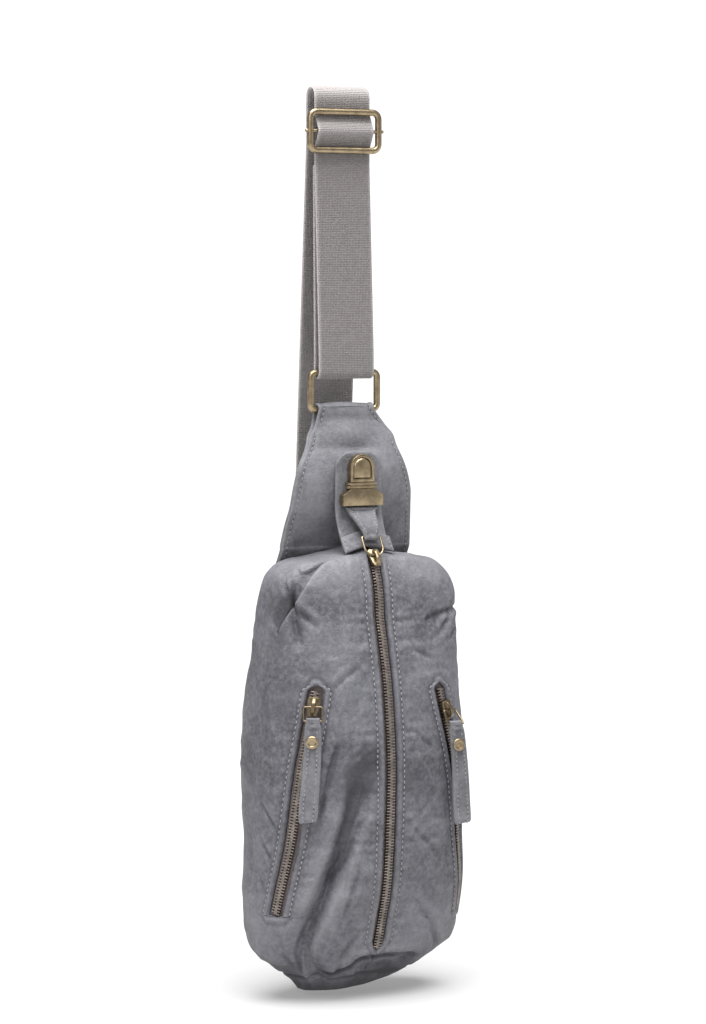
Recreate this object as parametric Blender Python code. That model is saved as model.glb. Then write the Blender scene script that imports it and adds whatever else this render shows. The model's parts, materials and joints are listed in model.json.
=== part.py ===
"""Leather sling bag: teardrop body with a centre zip and two pocket zips, tuck lock, yoke and webbing strap.

The bag hangs by the fold of its strap. Metres, +Z up, the front faces -Y.
The origin is on the inner side of the strap's upper fold, where a hook would carry it.
"""

import math

import bmesh
import bpy
from mathutils import Matrix, Vector

# Driving sizes of the body
BODY_WIDTH = 0.151
BODY_DEPTH = 0.106
BODY_HEIGHT = 0.297
BODY_TOP = -0.300
BODY_MID = -0.022
WALL = 0.002
GAP = 0.0003
SEAM = 0.0004
ROOF_SEAM = 0.0020

# Driving sizes of the zips
MAIN_SLOT = 0.0100
POCKET_SLOT = 0.0120
CHAIN_WIDTH = 0.0060
CHAIN_HEIGHT = 0.0024
TAPE_THICK = 0.0008
TAPE_LAP = 0.0050
TAPE_SINK = 0.0008
SLIDER_WIDTH = 0.0085
SLIDER_LENGTH = 0.0125
SLIDER_THICK = 0.0022
CROWN_WIDTH = 0.0022
CROWN_HEIGHT = 0.0022
CROWN_THICK = 0.0012
POCKET_ZIP_ABOVE = {-1: 0.0130, 1: 0.0180}
MAIN_SLIDER_BELOW = 0.012
MAIN_CHAIN_TOP = 0.022

# Driving sizes of the leather trim
LEATHER = 0.0020
YOKE_NECK = 0.0415
YOKE_FLARE = 0.0960
YOKE_LAP = 0.0300
YOKE_BULGE = 0.0055
PATCH_WIDTH = 0.0345
PATCH_TOP = -0.2380
PATCH_SET_BACK = 0.0105
PATCH_DROOP = 0.0045
PATCH_END_ABOVE = 0.0018
END_TAB_WIDTH = 0.0365
END_TAB_LENGTH = 0.0125
END_TAB_CLEAR = 0.0010
LOCK_TAB_TOP = 0.0250
LOCK_TAB_FOOT = 0.0105
LOCK_TAB_THICK = 0.0034
LOCK_TAB_BOW = 0.0026
PULL_WIDTH = 0.0110
PULL_LENGTH = 0.0660
PULL_THICK = 0.0034
RIVET_RADIUS = 0.0043
RIVET_HEIGHT = 0.0012
RIVET_DROP = 0.0135
# How a pull hangs: how far its loop stands out, its turn to the left in degrees, its foot's lean to the right
PULL_STAND = {-1: 0.0, 1: 0.0030}
PULL_TURN = {-1: 0.0, 1: 26.0}
PULL_LEAN = {-1: -0.0027, 1: 0.0055}

# Driving sizes of the strap and its hardware
STRAP_WIDTH = 0.0410
STRAP_THICK = 0.0018
LOOP_RADIUS = 0.0050
STRAP_CLEAR = 0.0006
STRAP_END = 0.855
RING_WIDTH = 0.0540
RING_HEIGHT = 0.0290
RING_WIRE = 0.0045
RING_CORNER = 0.0036
RING_DROP = 0.1990
RING_SET_BACK = 0.0085
BUCKLE_WIDTH = 0.0550
BUCKLE_HEIGHT = 0.0295
BUCKLE_WIRE = 0.0044
BUCKLE_CORNER = 0.0045
BUCKLE_DROP = 0.0280
BUCKLE_CLEAR = 0.0004
PIN_RADIUS = 0.0012
PIN_PROUD = 0.0016

# Driving sizes of the tuck lock
LOCK_WIDTH = 0.0174
LOCK_HEIGHT = 0.0182
LOCK_DEPTH = 0.0050
LOCK_BACK = 0.0012
LOCK_RIM = 0.0020
LOCK_TOP = 0.0018
BUTTON_THICK = 0.0028
BUTTON_TRAVEL = 0.0015
PLATE_WIDTH = 0.0296
PLATE_SHOULDER = 0.0184
PLATE_HEIGHT = 0.0108
PLATE_THICK = 0.0060
PLATE_RIB_WIDTH = 0.0222
PLATE_RIB_HEIGHT = 0.0016
PLATE_RIB_GAP = 0.0006
PLATE_RIB_BACK = 0.0010
PLATE_NECK = 0.0044
BUTTON_STEPS = ((0.0, 0.0012), (0.0010, 0.0004), (0.0026, 0.0))
PLATE_CHAMFER = 0.0040
BAIL_WIRE = 0.0014
BAIL_WIDTH = 0.0120
BAIL_LENGTH = 0.0105
BAIL_CORNER = 0.0012
LOCK_RING_WIDTH = 0.0135
LOCK_RING_BEND = 0.0055
LOCK_RING_CORNER = 0.0012
LOCK_RING_RUN = (0.0068, 0.0115)

# Body sections from the top down. Lengths are shares: down of the height, wide and shift of half the width,
# mid, front and back of the depth, measured from the body's middle plane. The last two columns are how square
# the front and the back of the section are.
SECTION_COLUMNS = ("down", "wide", "mid", "front", "back", "shift", "front_square", "back_square")
SECTIONS = (
    (0.000, 0.021, 0.040, 0.170, 0.085, 0.00, 2.4, 5.0),
    (0.012, 0.200, 0.040, 0.222, 0.090, 0.00, 2.5, 5.0),
    (0.022, 0.425, 0.038, 0.260, 0.104, 0.00, 2.8, 5.0),
    (0.034, 0.662, 0.030, 0.283, 0.127, 0.00, 3.0, 5.0),
    (0.051, 0.775, 0.000, 0.300, 0.160, 0.00, 3.2, 4.5),
    (0.076, 0.840, -0.028, 0.324, 0.202, 0.00, 3.6, 4.0),
    (0.108, 0.874, -0.038, 0.342, 0.252, 0.00, 3.8, 3.5),
    (0.152, 0.886, -0.038, 0.365, 0.318, -0.01, 3.5, 3.0),
    (0.219, 0.905, -0.019, 0.414, 0.396, -0.01, 3.0, 2.7),
    (0.320, 0.948, 0.005, 0.474, 0.468, -0.01, 2.6, 2.5),
    (0.482, 1.000, 0.019, 0.503, 0.500, 0.00, 2.5, 2.5),
    (0.640, 0.980, 0.000, 0.481, 0.481, 0.00, 2.5, 2.5),
    (0.751, 1.000, 0.009, 0.443, 0.462, 0.00, 2.5, 2.5),
    (0.832, 0.990, 0.019, 0.372, 0.425, 0.00, 2.5, 2.5),
    (0.892, 0.935, 0.028, 0.321, 0.350, -0.01, 2.5, 2.5),
    (0.936, 0.725, 0.066, 0.250, 0.270, -0.03, 2.4, 2.4),
    (0.970, 0.505, 0.075, 0.150, 0.186, -0.06, 2.3, 2.3),
    (0.992, 0.335, 0.080, 0.050, 0.130, -0.15, 2.2, 2.2),
)

# Folds pressed into the leather. Places are an angle round the body from the front (degrees, + to the right)
# and a share of the height, reach is a share of the width, depth a share of the body's depth (below 0 is raised).
FOLD_COLUMNS = ("from_angle", "from_down", "to_angle", "to_down", "reach", "depth")
FOLDS = (
    (-14.0, 0.545, -26.0, 0.725, 0.055, 0.034),
    (-26.0, 0.725, -42.0, 0.935, 0.065, 0.050),
    (-11.0, 0.700, -25.0, 0.930, 0.050, -0.018),
    (-58.0, 0.100, -50.0, 0.190, 0.040, 0.045),
    (62.0, 0.125, 30.0, 0.165, 0.035, 0.025),
    (-4.0, 0.945, 26.0, 0.930, 0.030, 0.030),
)

SIDE_SEAM = math.radians(125)
BASE_SEAM = 0.955
MAIN_ZIP_TOP = 0.014
MAIN_ZIP_FOOT = 0.892
ZIP_END_SHARE = 0.010

# Ends of the pocket zips, side 1 being the right: angle from the front in degrees and share of the height.
# The soft sides hang unevenly, so the two differ.
POCKET_TOP = {-1: (37.2, 0.294), 1: (29.0, 0.302)}
POCKET_FOOT = {-1: (64.4, 0.806), 1: (62.0, 0.830)}


def share_table(columns, rows):
    return [dict(zip(columns, row)) for row in rows]


SECTION_TABLE = share_table(SECTION_COLUMNS, SECTIONS)
FOLD_TABLE = share_table(FOLD_COLUMNS, FOLDS)


def read_section(down):
    """The section at a share of the height, on a smooth curve through the table's rows."""
    rows = SECTION_TABLE
    last = len(rows) - 1
    i = max(k for k in range(last) if rows[k]["down"] <= max(down, 0.0)) if down > 0 else 0
    before, here, after, beyond = rows[max(i - 1, 0)], rows[i], rows[i + 1], rows[min(i + 2, last)]
    span = after["down"] - here["down"]
    t = (down - here["down"]) / span
    section = {}
    for key in SECTION_COLUMNS:
        slope_in = (after[key] - before[key]) / (after["down"] - before["down"]) * span
        slope_out = (beyond[key] - here[key]) / (beyond["down"] - here["down"]) * span
        rise = after[key] - here[key]
        limit = 3 * abs(rise)
        slope_in = max(-limit, min(limit, slope_in)) if slope_in * rise > 0 else 0.0
        slope_out = max(-limit, min(limit, slope_out)) if slope_out * rise > 0 else 0.0
        section[key] = (
            here[key] * (2 * t**3 - 3 * t**2 + 1)
            + slope_in * (t**3 - 2 * t**2 + t)
            + after[key] * (3 * t**2 - 2 * t**3)
            + slope_out * (t**3 - t**2)
        )
    return section


def signed_power(value, power):
    return math.copysign(abs(value) ** power, value)


def fold_depth(angle, down):
    """How far the folds press the leather in at a place, in metres."""
    total = 0.0
    round_scale = BODY_WIDTH / 2
    angle = (angle + math.pi) % (2 * math.pi) - math.pi
    for fold in FOLD_TABLE:
        start = Vector((math.radians(fold["from_angle"]) * round_scale, fold["from_down"] * BODY_HEIGHT))
        end = Vector((math.radians(fold["to_angle"]) * round_scale, fold["to_down"] * BODY_HEIGHT))
        here = Vector((angle * round_scale, down * BODY_HEIGHT))
        run = end - start
        t = (here - start).dot(run) / run.length_squared
        along = max(0.0, min(1.0, t))
        distance = (here - start - run * along).length
        reach = fold["reach"] * BODY_WIDTH
        total += fold["depth"] * BODY_DEPTH * math.exp(-((distance / reach) ** 2))
    return total


def smooth_surface(angle, down):
    s = read_section(down)
    half_width = s["wide"] * BODY_WIDTH / 2
    middle = BODY_MID + s["mid"] * BODY_DEPTH
    front = BODY_MID - s["front"] * BODY_DEPTH
    back = BODY_MID + s["back"] * BODY_DEPTH
    ahead = math.cos(angle) >= 0
    square = s["front_square"] if ahead else s["back_square"]
    reach = front if ahead else back
    x = s["shift"] * BODY_WIDTH / 2 + half_width * signed_power(math.sin(angle), 2 / square)
    y = middle + (reach - middle) * abs(math.cos(angle)) ** (2 / square)
    return Vector((x, y, BODY_TOP - down * BODY_HEIGHT))


def point_and_normal(angle, down):
    """A place on the body before it is folded, and the outward normal there."""
    step = 0.02
    drop = 0.004
    up = max(down - drop, 0.0)
    low = min(down + drop, SECTION_TABLE[-1]["down"])
    around = smooth_surface(angle + step, down) - smooth_surface(angle - step, down)
    downward = smooth_surface(angle, low) - smooth_surface(angle, up)
    return smooth_surface(angle, down), downward.cross(around).normalized()


def on_body(angle, down, raised=0.0):
    """A place on the leather's outer face, or above (+) or below (-) it."""
    point, normal = point_and_normal(angle, down)
    return point + normal * (raised - fold_depth(angle, down))


def angle_step(angle, down, length):
    """The angle that a length round the body takes up at a place."""
    step = 0.01
    span = (smooth_surface(angle + step, down) - smooth_surface(angle - step, down)).length
    return length * 2 * step / span


def front_angle(down, distance):
    """The angle at which the front is a distance to one side of the centre line."""
    s = read_section(down)
    share = min(0.98, abs(distance) / (s["wide"] * BODY_WIDTH / 2))
    return math.copysign(math.asin(share ** (s["front_square"] / 2)), distance)


def spaced(start, end, count):
    return [start + (end - start) * i / (count - 1) for i in range(count)]


# Materials

def material(name, colour, roughness, metallic=0.0):
    made = bpy.data.materials.new(name)
    made.use_nodes = True
    shader = made.node_tree.nodes["Principled BSDF"]
    shader.inputs["Base Color"].default_value = (*colour, 1.0)
    shader.inputs["Roughness"].default_value = roughness
    shader.inputs["Metallic"].default_value = metallic
    made.diffuse_color = (*colour, 1.0)
    return made


FINISHES = {
    "leather": ((0.17, 0.17, 0.19), 0.75, 0.0),
    "trim": ((0.19, 0.19, 0.21), 0.75, 0.0),
    "webbing": ((0.28, 0.26, 0.25), 0.9, 0.0),
    "tape": ((0.22, 0.18, 0.17), 0.9, 0.0),
    "chain": ((0.17, 0.14, 0.10), 0.45, 1.0),
    "brass": ((0.33, 0.26, 0.15), 0.4, 1.0),
}


def place(name, mesh, finish, smooth=True):
    made = bpy.data.objects.new(name, mesh)
    bpy.context.scene.collection.objects.link(made)
    colour, roughness, metallic = FINISHES[finish]
    mesh.materials.append(material(name, colour, roughness, metallic))
    if smooth:
        mesh.shade_smooth()
        mesh.set_sharp_from_angle(angle=math.radians(35))
    return made


# Solids

def mesh_from(name, points, faces):
    mesh = bpy.data.meshes.new(name)
    mesh.from_pydata([tuple(p) for p in points], [], faces)
    bm = bmesh.new()
    bm.from_mesh(mesh)
    bmesh.ops.recalc_face_normals(bm, faces=bm.faces)
    bm.to_mesh(mesh)
    bm.free()
    return mesh


def wall_faces(rows, columns, ring):
    """Faces of a wall between an outer and an inner grid, with its rims."""
    faces = []
    size = rows * columns

    def at(r, c):
        return r * columns + c % columns

    strips = columns if ring else columns - 1
    for r in range(rows - 1):
        for c in range(strips):
            a, b, d, e = at(r, c), at(r, c + 1), at(r + 1, c + 1), at(r + 1, c)
            faces.append((a, b, d, e))
            faces.append((size + a, size + e, size + d, size + b))
    for c in range(strips):
        for r in (0, rows - 1):
            faces.append((at(r, c), at(r, c + 1), size + at(r, c + 1), size + at(r, c)))
    if not ring:
        for r in range(rows - 1):
            for c in (0, columns - 1):
                faces.append((at(r, c), at(r + 1, c), size + at(r + 1, c), size + at(r, c)))
    return faces


def slab(name, outer, inner, finish):
    """A solid between two grids of points."""
    points = [p for row in outer for p in row] + [p for row in inner for p in row]
    faces = wall_faces(len(outer), len(outer[0]), ring=False)
    return place(name, mesh_from(name, points, faces), finish)


def patch(name, downs, edges, columns, top, under, finish):
    """A piece of the body's surface between two heights above it. edges(down) gives its two side angles."""
    grids = []
    for raised in (top, under):
        grids.append([
            [on_body(a, d, raised) for a in spaced(*edges(d), columns)]
            for d in downs
        ])
    return slab(name, grids[0], grids[1], finish)


def path_normals(path):
    """Normals of a path of (y, z) points, to its right hand as it runs."""
    normals = []
    for i in range(len(path)):
        before = Vector(path[max(i - 1, 0)])
        after = Vector(path[min(i + 1, len(path) - 1)])
        run = (after - before).normalized()
        normals.append(Vector((run.y, -run.x)))
    return normals


def ribbon(name, path, half_widths, thickness, finish, columns=2, sag=None):
    """A strip along a path of (y, z) points. A half width may be a pair: to the left and to the right.

    sag(share, x) moves a point along Y and Z.
    """
    outer, inner = [], []
    normals = path_normals(path)
    for i, (point, normal, half) in enumerate(zip(path, normals, half_widths)):
        share = i / (len(path) - 1)
        left, right = half if isinstance(half, tuple) else (half, half)
        rows = ([], [])
        for x in spaced(-left, right, columns):
            moved = sag(share, x) if sag else Vector((0.0, 0.0))
            for row, side in zip(rows, (0.5, -0.5)):
                y, z = Vector(point) + normal * thickness * side + moved
                row.append(Vector((x, y, z)))
        outer.append(rows[0])
        inner.append(rows[1])
    return slab(name, outer, inner, finish)


def smooth_path(points, count):
    """Points read from a smooth curve through a few (y, z) points."""
    points = [Vector(p) for p in points]
    ends = [points[0] * 2 - points[1]] + points + [points[-1] * 2 - points[-2]]
    path = []
    for k in range(count):
        place_along = k / (count - 1) * (len(points) - 1)
        i = min(int(place_along), len(points) - 2)
        t = place_along - i
        a, b, c, d = ends[i : i + 4]
        path.append(
            0.5 * (2 * b + (c - a) * t + (2 * a - 5 * b + 4 * c - d) * t**2 + (3 * b - a - 3 * c + d) * t**3)
        )
    return path


def arc(centre, radius, start, end, count):
    """Points on an arc of (y, z) points, angles in degrees from +Y towards +Z."""
    return [
        Vector((centre[0] + radius * math.cos(a), centre[1] + radius * math.sin(a)))
        for a in (math.radians(t) for t in spaced(start, end, count))
    ]


def rounded_loop(width, height, corner, per_corner=5, top_corner=None):
    """A closed outline (x, z) round the origin."""
    points = []
    low_corner = corner
    for k, (sx, sz) in enumerate(((1, 1), (-1, 1), (-1, -1), (1, -1))):
        corner = top_corner if top_corner and sz > 0 else low_corner
        cx, cz = sx * (width / 2 - corner), sz * (height / 2 - corner)
        for t in spaced(90 * k, 90 * k + 90, per_corner):
            a = math.radians(t)
            points.append((cx + corner * math.cos(a), cz + corner * math.sin(a)))
    return points


def wire_loop(name, points, radius, finish="brass", sides=8):
    """A closed wire along 3-D points that lie in one plane."""
    centre = sum(points, Vector()) / len(points)
    plane_normal = (points[0] - centre).cross(points[len(points) // 4] - centre).normalized()
    verts, faces = [], []
    count = len(points)
    for i, p in enumerate(points):
        run = (points[(i + 1) % count] - points[i - 1]).normalized()
        side = run.cross(plane_normal).normalized()
        for k in range(sides):
            a = 2 * math.pi * (k + 0.5) / sides
            verts.append(p + side * radius * math.cos(a) + plane_normal * radius * math.sin(a))
    for i in range(count):
        for k in range(sides):
            j, n = (i + 1) % count, (k + 1) % sides
            faces.append((i * sides + k, i * sides + n, j * sides + n, j * sides + k))
    return place(name, mesh_from(name, verts, faces), finish)


def prism(name, outline, depth_from, depth_to, frame, finish):
    """An outline of (x, up) points, extruded between two heights of a local frame."""
    count = len(outline)
    verts = [frame @ Vector((x, up, depth_from)) for x, up in outline]
    verts += [frame @ Vector((x, up, depth_to)) for x, up in outline]
    faces = [tuple(range(count)), tuple(range(count, 2 * count))]
    faces += [(i, (i + 1) % count, count + (i + 1) % count, count + i) for i in range(count)]
    return place(name, mesh_from(name, verts, faces), finish)


def local_frame(origin, up, outward):
    """A frame with X to the right, Y along up and Z outward."""
    outward = outward.normalized()
    right = up.cross(outward).normalized()
    up = outward.cross(right)
    return Matrix((
        (right.x, up.x, outward.x, origin.x),
        (right.y, up.y, outward.y, origin.y),
        (right.z, up.z, outward.z, origin.z),
        (0, 0, 0, 1),
    ))


def cut(target, cutter, operation="DIFFERENCE"):
    """Cuts or joins with a hidden guide object."""
    step = target.modifiers.new(cutter.name, "BOOLEAN")
    step.operation = operation
    step.solver = "EXACT"
    step.object = cutter
    cutter.hide_render = True
    cutter.display_type = "WIRE"


def rod(name, centre, radius, length, finish="brass", axis="X", sides=12):
    """A round bar along X or Y."""
    bm = bmesh.new()
    bmesh.ops.create_cone(
        bm, cap_ends=True, segments=sides, radius1=radius, radius2=radius, depth=length,
        matrix=Matrix.Translation(centre) @ Matrix.Rotation(math.pi / 2, 4, "Y" if axis == "X" else "X"),
    )
    mesh = bpy.data.meshes.new(name)
    bm.to_mesh(mesh)
    bm.free()
    return place(name, mesh, finish)


# Body panels

def main_slot_half(down):
    """Half the gap between the front panels: a seam above and below the zip, its opening between them."""
    opening = min(1.0, max(0.0, (down - MAIN_ZIP_TOP) / (0.3 * MAIN_ZIP_TOP)))
    closing = min(1.0, max(0.0, (MAIN_ZIP_FOOT - down) / ZIP_END_SHARE))
    seam = ROOF_SEAM if down < MAIN_ZIP_FOOT / 2 else SEAM
    return seam / 2 + (MAIN_SLOT - seam) / 2 * min(opening, closing)


def panel_rows():
    """Heights at which the panels are shaped, closest at the shoulders."""
    shoulder = [0.016, 0.022, 0.030, 0.034, 0.039, 0.051, 0.062]
    beside_zip = spaced(0.076, MAIN_ZIP_FOOT - ZIP_END_SHARE, 21)
    below_zip = spaced(MAIN_ZIP_FOOT, BASE_SEAM - SEAM / BODY_HEIGHT, 3)
    return shoulder + beside_zip + below_zip


def front_panel(side):
    name = "front_left_panel" if side < 0 else "front_right_panel"
    rows = [0.0, 0.006, 0.012] + panel_rows()

    def edges(down):
        slot = front_angle(down, side * main_slot_half(down))
        seam = side * (SIDE_SEAM - angle_step(SIDE_SEAM, down, SEAM / 2))
        return (slot, seam) if side > 0 else (seam, slot)

    panel = patch(name, rows, edges, 21, 0.0, -WALL, "leather")
    cut(panel, pocket_cutter(side))
    return panel


def back_panel():
    def edges(down):
        clear = angle_step(SIDE_SEAM, down, SEAM / 2)
        return SIDE_SEAM + clear, 2 * math.pi - SIDE_SEAM - clear

    return patch("back_panel", panel_rows(), edges, 8, 0.0, -WALL, "leather")


def base_panel():
    """The rounded bottom, closed at a pole."""
    last = SECTION_TABLE[-1]["down"]
    rows = spaced(BASE_SEAM, last, 5)
    angles = [2 * math.pi * i / 32 for i in range(32)]
    outer = [[on_body(a, d) for a in angles] for d in rows]
    inner = [[on_body(a, d, -WALL) for a in angles] for d in rows]
    foot = Vector((read_section(last)["shift"] * BODY_WIDTH / 2, outer[-1][8].y, BODY_TOP - BODY_HEIGHT))
    points = [p for row in outer for p in row] + [p for row in inner for p in row]
    points += [foot, foot + Vector((0, 0, WALL))]
    faces = wall_faces(len(rows), 32, ring=True)
    size = len(rows) * 32
    start = size - 32
    poles = (2 * size, 2 * size + 1)
    faces = [f for f in faces if not (min(f) >= start and len({i // size for i in f}) == 2)]
    for shift, pole in ((0, poles[0]), (size, poles[1])):
        for c in range(32):
            faces.append((shift + start + c, shift + start + (c + 1) % 32, pole))
    return place("base_panel", mesh_from("base_panel", points, faces), "leather")


# Zips

def pocket_line(share, side):
    """Angle and height of a place along a pocket zip, from its top end (0) to its foot (1)."""
    (top_angle, top), (foot_angle, foot) = POCKET_TOP[side], POCKET_FOOT[side]
    angle = top_angle + (foot_angle - top_angle) * share
    return side * math.radians(angle), top + (foot - top) * share


def pocket_length(side):
    return (POCKET_FOOT[side][1] - POCKET_TOP[side][1]) * BODY_HEIGHT


def pocket_strip(name, side, half_width, shares, narrowing, top, under, finish):
    """A strip along a pocket zip; narrowing(share) scales its width."""
    grids = ([], [])
    for share in shares:
        angle, down = pocket_line(share, side)
        reach = angle_step(angle, down, half_width * narrowing(share))
        for grid, raised in zip(grids, (top, under)):
            grid.append([on_body(a, down, raised) for a in spaced(angle - reach, angle + reach, 3)])
    return slab(name, grids[0], grids[1], finish)


def pocket_cutter(side):
    """The opening of a pocket zip, with a round upper end."""
    end = POCKET_SLOT / 2 / pocket_length(side)
    shares = [0.05 * end, 0.25 * end, 0.6 * end] + spaced(end, 1.0, 14)

    def narrowing(share):
        return math.sqrt(max(0.0, 1 - max(0.0, 1 - share / end) ** 2))

    name = "left_pocket_cutter" if side < 0 else "right_pocket_cutter"
    return pocket_strip(name, side, POCKET_SLOT / 2, shares, narrowing, 0.008, -0.010, "tape")


def full_width(share):
    return 1.0


def zip_levels():
    """Heights above the leather of the tape's two faces and the chain's two faces."""
    tape_top = -WALL - TAPE_SINK
    chain_under = tape_top + GAP
    return tape_top, tape_top - TAPE_THICK, chain_under + CHAIN_HEIGHT, chain_under


def main_zip():
    tape_top, tape_under, chain_top, chain_under = zip_levels()
    rows = spaced(MAIN_CHAIN_TOP, 0.040, 4) + spaced(0.055, MAIN_ZIP_FOOT - ZIP_END_SHARE, 26)

    def tape_edges(down):
        reach = MAIN_SLOT / 2 + TAPE_LAP
        return front_angle(down, -reach), front_angle(down, reach)

    def chain_edges(down):
        return front_angle(down, -CHAIN_WIDTH / 2), front_angle(down, CHAIN_WIDTH / 2)

    patch("main_tape", rows, tape_edges, 7, tape_top, tape_under, "tape")
    patch("main_chain", rows, chain_edges, 3, chain_top, chain_under, "chain")


def crown_profile():
    """Side view of a slider's crown, (along, outward) points of a bridge over the slider's plate."""
    half = SLIDER_LENGTH * 0.34
    base = SLIDER_THICK * 0.5
    top = SLIDER_THICK + CROWN_HEIGHT
    outer = [(-half - CROWN_THICK, base), (-half - CROWN_THICK, top * 0.8), (-half * 0.6, top + CROWN_THICK),
             (half * 0.6, top + CROWN_THICK), (half + CROWN_THICK, top * 0.8), (half + CROWN_THICK, base)]
    inner = [(half, base), (half, top * 0.75), (half * 0.5, top),
             (-half * 0.5, top), (-half, top * 0.75), (-half, base)]
    return outer + inner


def slider(name, frame):
    """A zip slider: a waisted plate with a crown that its ring or bail passes under."""
    w, h = SLIDER_WIDTH / 2, SLIDER_LENGTH / 2
    outline = [(0.55 * w, -h), (0.8 * w, -0.6 * h), (0.9 * w, 0.1 * h), (w, 0.75 * h), (0.75 * w, h),
               (-0.75 * w, h), (-w, 0.75 * h), (-0.9 * w, 0.1 * h), (-0.8 * w, -0.6 * h), (-0.55 * w, -h)]
    plate = prism(name, outline, 0.0, SLIDER_THICK, frame, "brass")
    profile = crown_profile()
    count = len(profile)
    verts = [frame @ Vector((x, a, out)) for x in (-CROWN_WIDTH / 2, CROWN_WIDTH / 2) for a, out in profile]
    faces = [tuple(range(count)), tuple(range(count, 2 * count))]
    faces += [(i, (i + 1) % count, count + (i + 1) % count, count + i) for i in range(count)]
    crown = place(name + "_crown_guide", mesh_from(name + "_crown", verts, faces), "brass")
    cut(plate, crown, "UNION")
    return plate


def slider_frame(angle, down, lean=0.0):
    """The frame of a slider that sits on the chain."""
    _, _, chain_top, _ = zip_levels()
    seat = max(chain_top, 0.0) + GAP
    point = on_body(angle, down, seat)
    above = on_body(angle + lean, down - 0.01, seat)
    below = on_body(angle - lean, down + 0.01, seat)
    normal = point_and_normal(angle, down)[1]
    return local_frame(point, above - below, normal)


def pocket_zip(side):
    prefix = "left" if side < 0 else "right"
    tape_top, tape_under, chain_top, chain_under = zip_levels()
    shares = spaced(-0.02, 1.02, 15)
    pocket_strip(prefix + "_tape", side, POCKET_SLOT / 2 + TAPE_LAP / 2, shares, full_width,
                 tape_top, tape_under, "tape")
    pocket_strip(prefix + "_chain", side, CHAIN_WIDTH / 2, spaced(0.02, 0.985, 15), full_width,
                 chain_top, chain_under, "chain")
    share = POCKET_ZIP_ABOVE[side] / pocket_length(side)
    angle, down = pocket_line(share, side)
    lower_angle, lower_down = pocket_line(share + 0.1, side)
    slope = (lower_angle - angle) / (lower_down - down) * 0.01
    frame = slider_frame(angle, down, lean=-slope)
    slider(prefix + "_slider", frame)
    hanging_pull(prefix, frame, side)


def hanging_pull(prefix, frame, side):
    """A bail through the slider's crown, with a riveted leather pull that hangs straight down from it."""
    wire = BAIL_WIRE / 2
    top = frame @ Vector((0.0, 0.0, SLIDER_THICK + GAP + wire))
    outward = Vector(frame.col[2][:3])
    outward.z = 0.0
    outward.normalize()
    foot_height = SLIDER_THICK + PULL_THICK
    foot = frame @ Vector((0.0, 0.0, foot_height))
    foot = Vector((foot.x, foot.y, foot.z - BAIL_LENGTH + BAIL_WIRE)) + outward * PULL_STAND[side]
    turned = Matrix.Rotation(-math.radians(PULL_TURN[side]), 3, "Z") @ outward
    run = (foot - top)
    run_up = -run.normalized()
    right = Vector((0, 0, 1)).cross(outward)
    turned_right = Vector((0, 0, 1)).cross(turned)
    centre = (top + foot) / 2
    bail = [
        centre + right.lerp(turned_right, 0.5 - z / run.length) * x + run_up * z
        for x, z in rounded_loop(BAIL_WIDTH, run.length, BAIL_CORNER, 4)
    ]
    wire_loop(prefix + "_bail", bail, wire, sides=6)
    hang = local_frame(foot, Vector((0, 0, 1)), turned)
    pull_leather(prefix, hang, PULL_LEAN[side])


PULL_COLUMNS = ("along", "width", "out")
PULL_ROWS = (
    (-0.030, 0.76, 0.00),
    (0.000, 0.80, 0.00),
    (0.022, 0.80, 0.00),
    (0.032, 1.00, 0.00),
    (0.080, 1.02, 0.00),
    (0.300, 1.04, 0.02),
    (0.550, 1.10, 0.04),
    (0.800, 1.14, 0.05),
    (0.970, 1.12, 0.05),
    (1.000, 1.04, 0.05),
)


def pull_leather(prefix, hang, lean):
    rows = share_table(PULL_COLUMNS, PULL_ROWS)
    outer, inner = [], []
    for row in rows:
        half = PULL_WIDTH / 2 * row["width"]
        out = row["out"] * PULL_WIDTH
        along = -row["along"] * PULL_LENGTH
        thin = 0.75 if row is rows[0] or row is rows[-1] else 1.0
        half_thick = PULL_THICK / 2 * thin
        middle = lean * row["along"]
        places = spaced(middle - half, middle + half, 3)
        outer.append([hang @ Vector((x, along, out + half_thick)) for x in places])
        inner.append([hang @ Vector((x, along, out - half_thick)) for x in places])
    pull = slab(prefix + "_pull", outer, inner, "trim")
    bore_radius = BAIL_WIRE / 2 + GAP
    right = Vector(hang.col[0][:3])
    bore_frame = local_frame(Vector(hang.translation), Vector(hang.col[2][:3]), right)
    ring = [(bore_radius * math.cos(t), bore_radius * math.sin(t)) for t in spaced(0, 2 * math.pi, 9)[:-1]]
    bore = prism(prefix + "_bore_guide", ring, -PULL_WIDTH, PULL_WIDTH, bore_frame, "trim")
    cut(pull, bore)
    seat = Vector((lean * RIVET_DROP / PULL_LENGTH, -RIVET_DROP, PULL_THICK / 2 + 0.02 * PULL_WIDTH + GAP))
    cap_frame = local_frame(hang @ seat, Vector(hang.col[1][:3]), Vector(hang.col[2][:3]))
    rivet(prefix + "_rivet", cap_frame)


def rivet(name, frame):
    """A low domed rivet cap with a dished middle."""
    rings = ((1.0, 0.0), (1.0, 0.45), (0.85, 0.85), (0.6, 1.0), (0.4, 0.8))
    sides = 14
    verts, faces = [], []
    for radius, height in rings:
        for k in range(sides):
            a = 2 * math.pi * k / sides
            reach = RIVET_RADIUS * radius
            verts.append(frame @ Vector((reach * math.cos(a), reach * math.sin(a), RIVET_HEIGHT * height)))
    for r in range(len(rings) - 1):
        for k in range(sides):
            n = (k + 1) % sides
            faces.append((r * sides + k, r * sides + n, (r + 1) * sides + n, (r + 1) * sides + k))
    faces.append(tuple(range(sides)))
    faces.append(tuple(range((len(rings) - 1) * sides, len(rings) * sides)))
    place(name, mesh_from(name, verts, faces), "brass")


# Strap, buckle and ring

def strap_front():
    """Y of the strap's middle where it leaves its upper fold, in front."""
    return -(LOOP_RADIUS + STRAP_THICK / 2)


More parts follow.
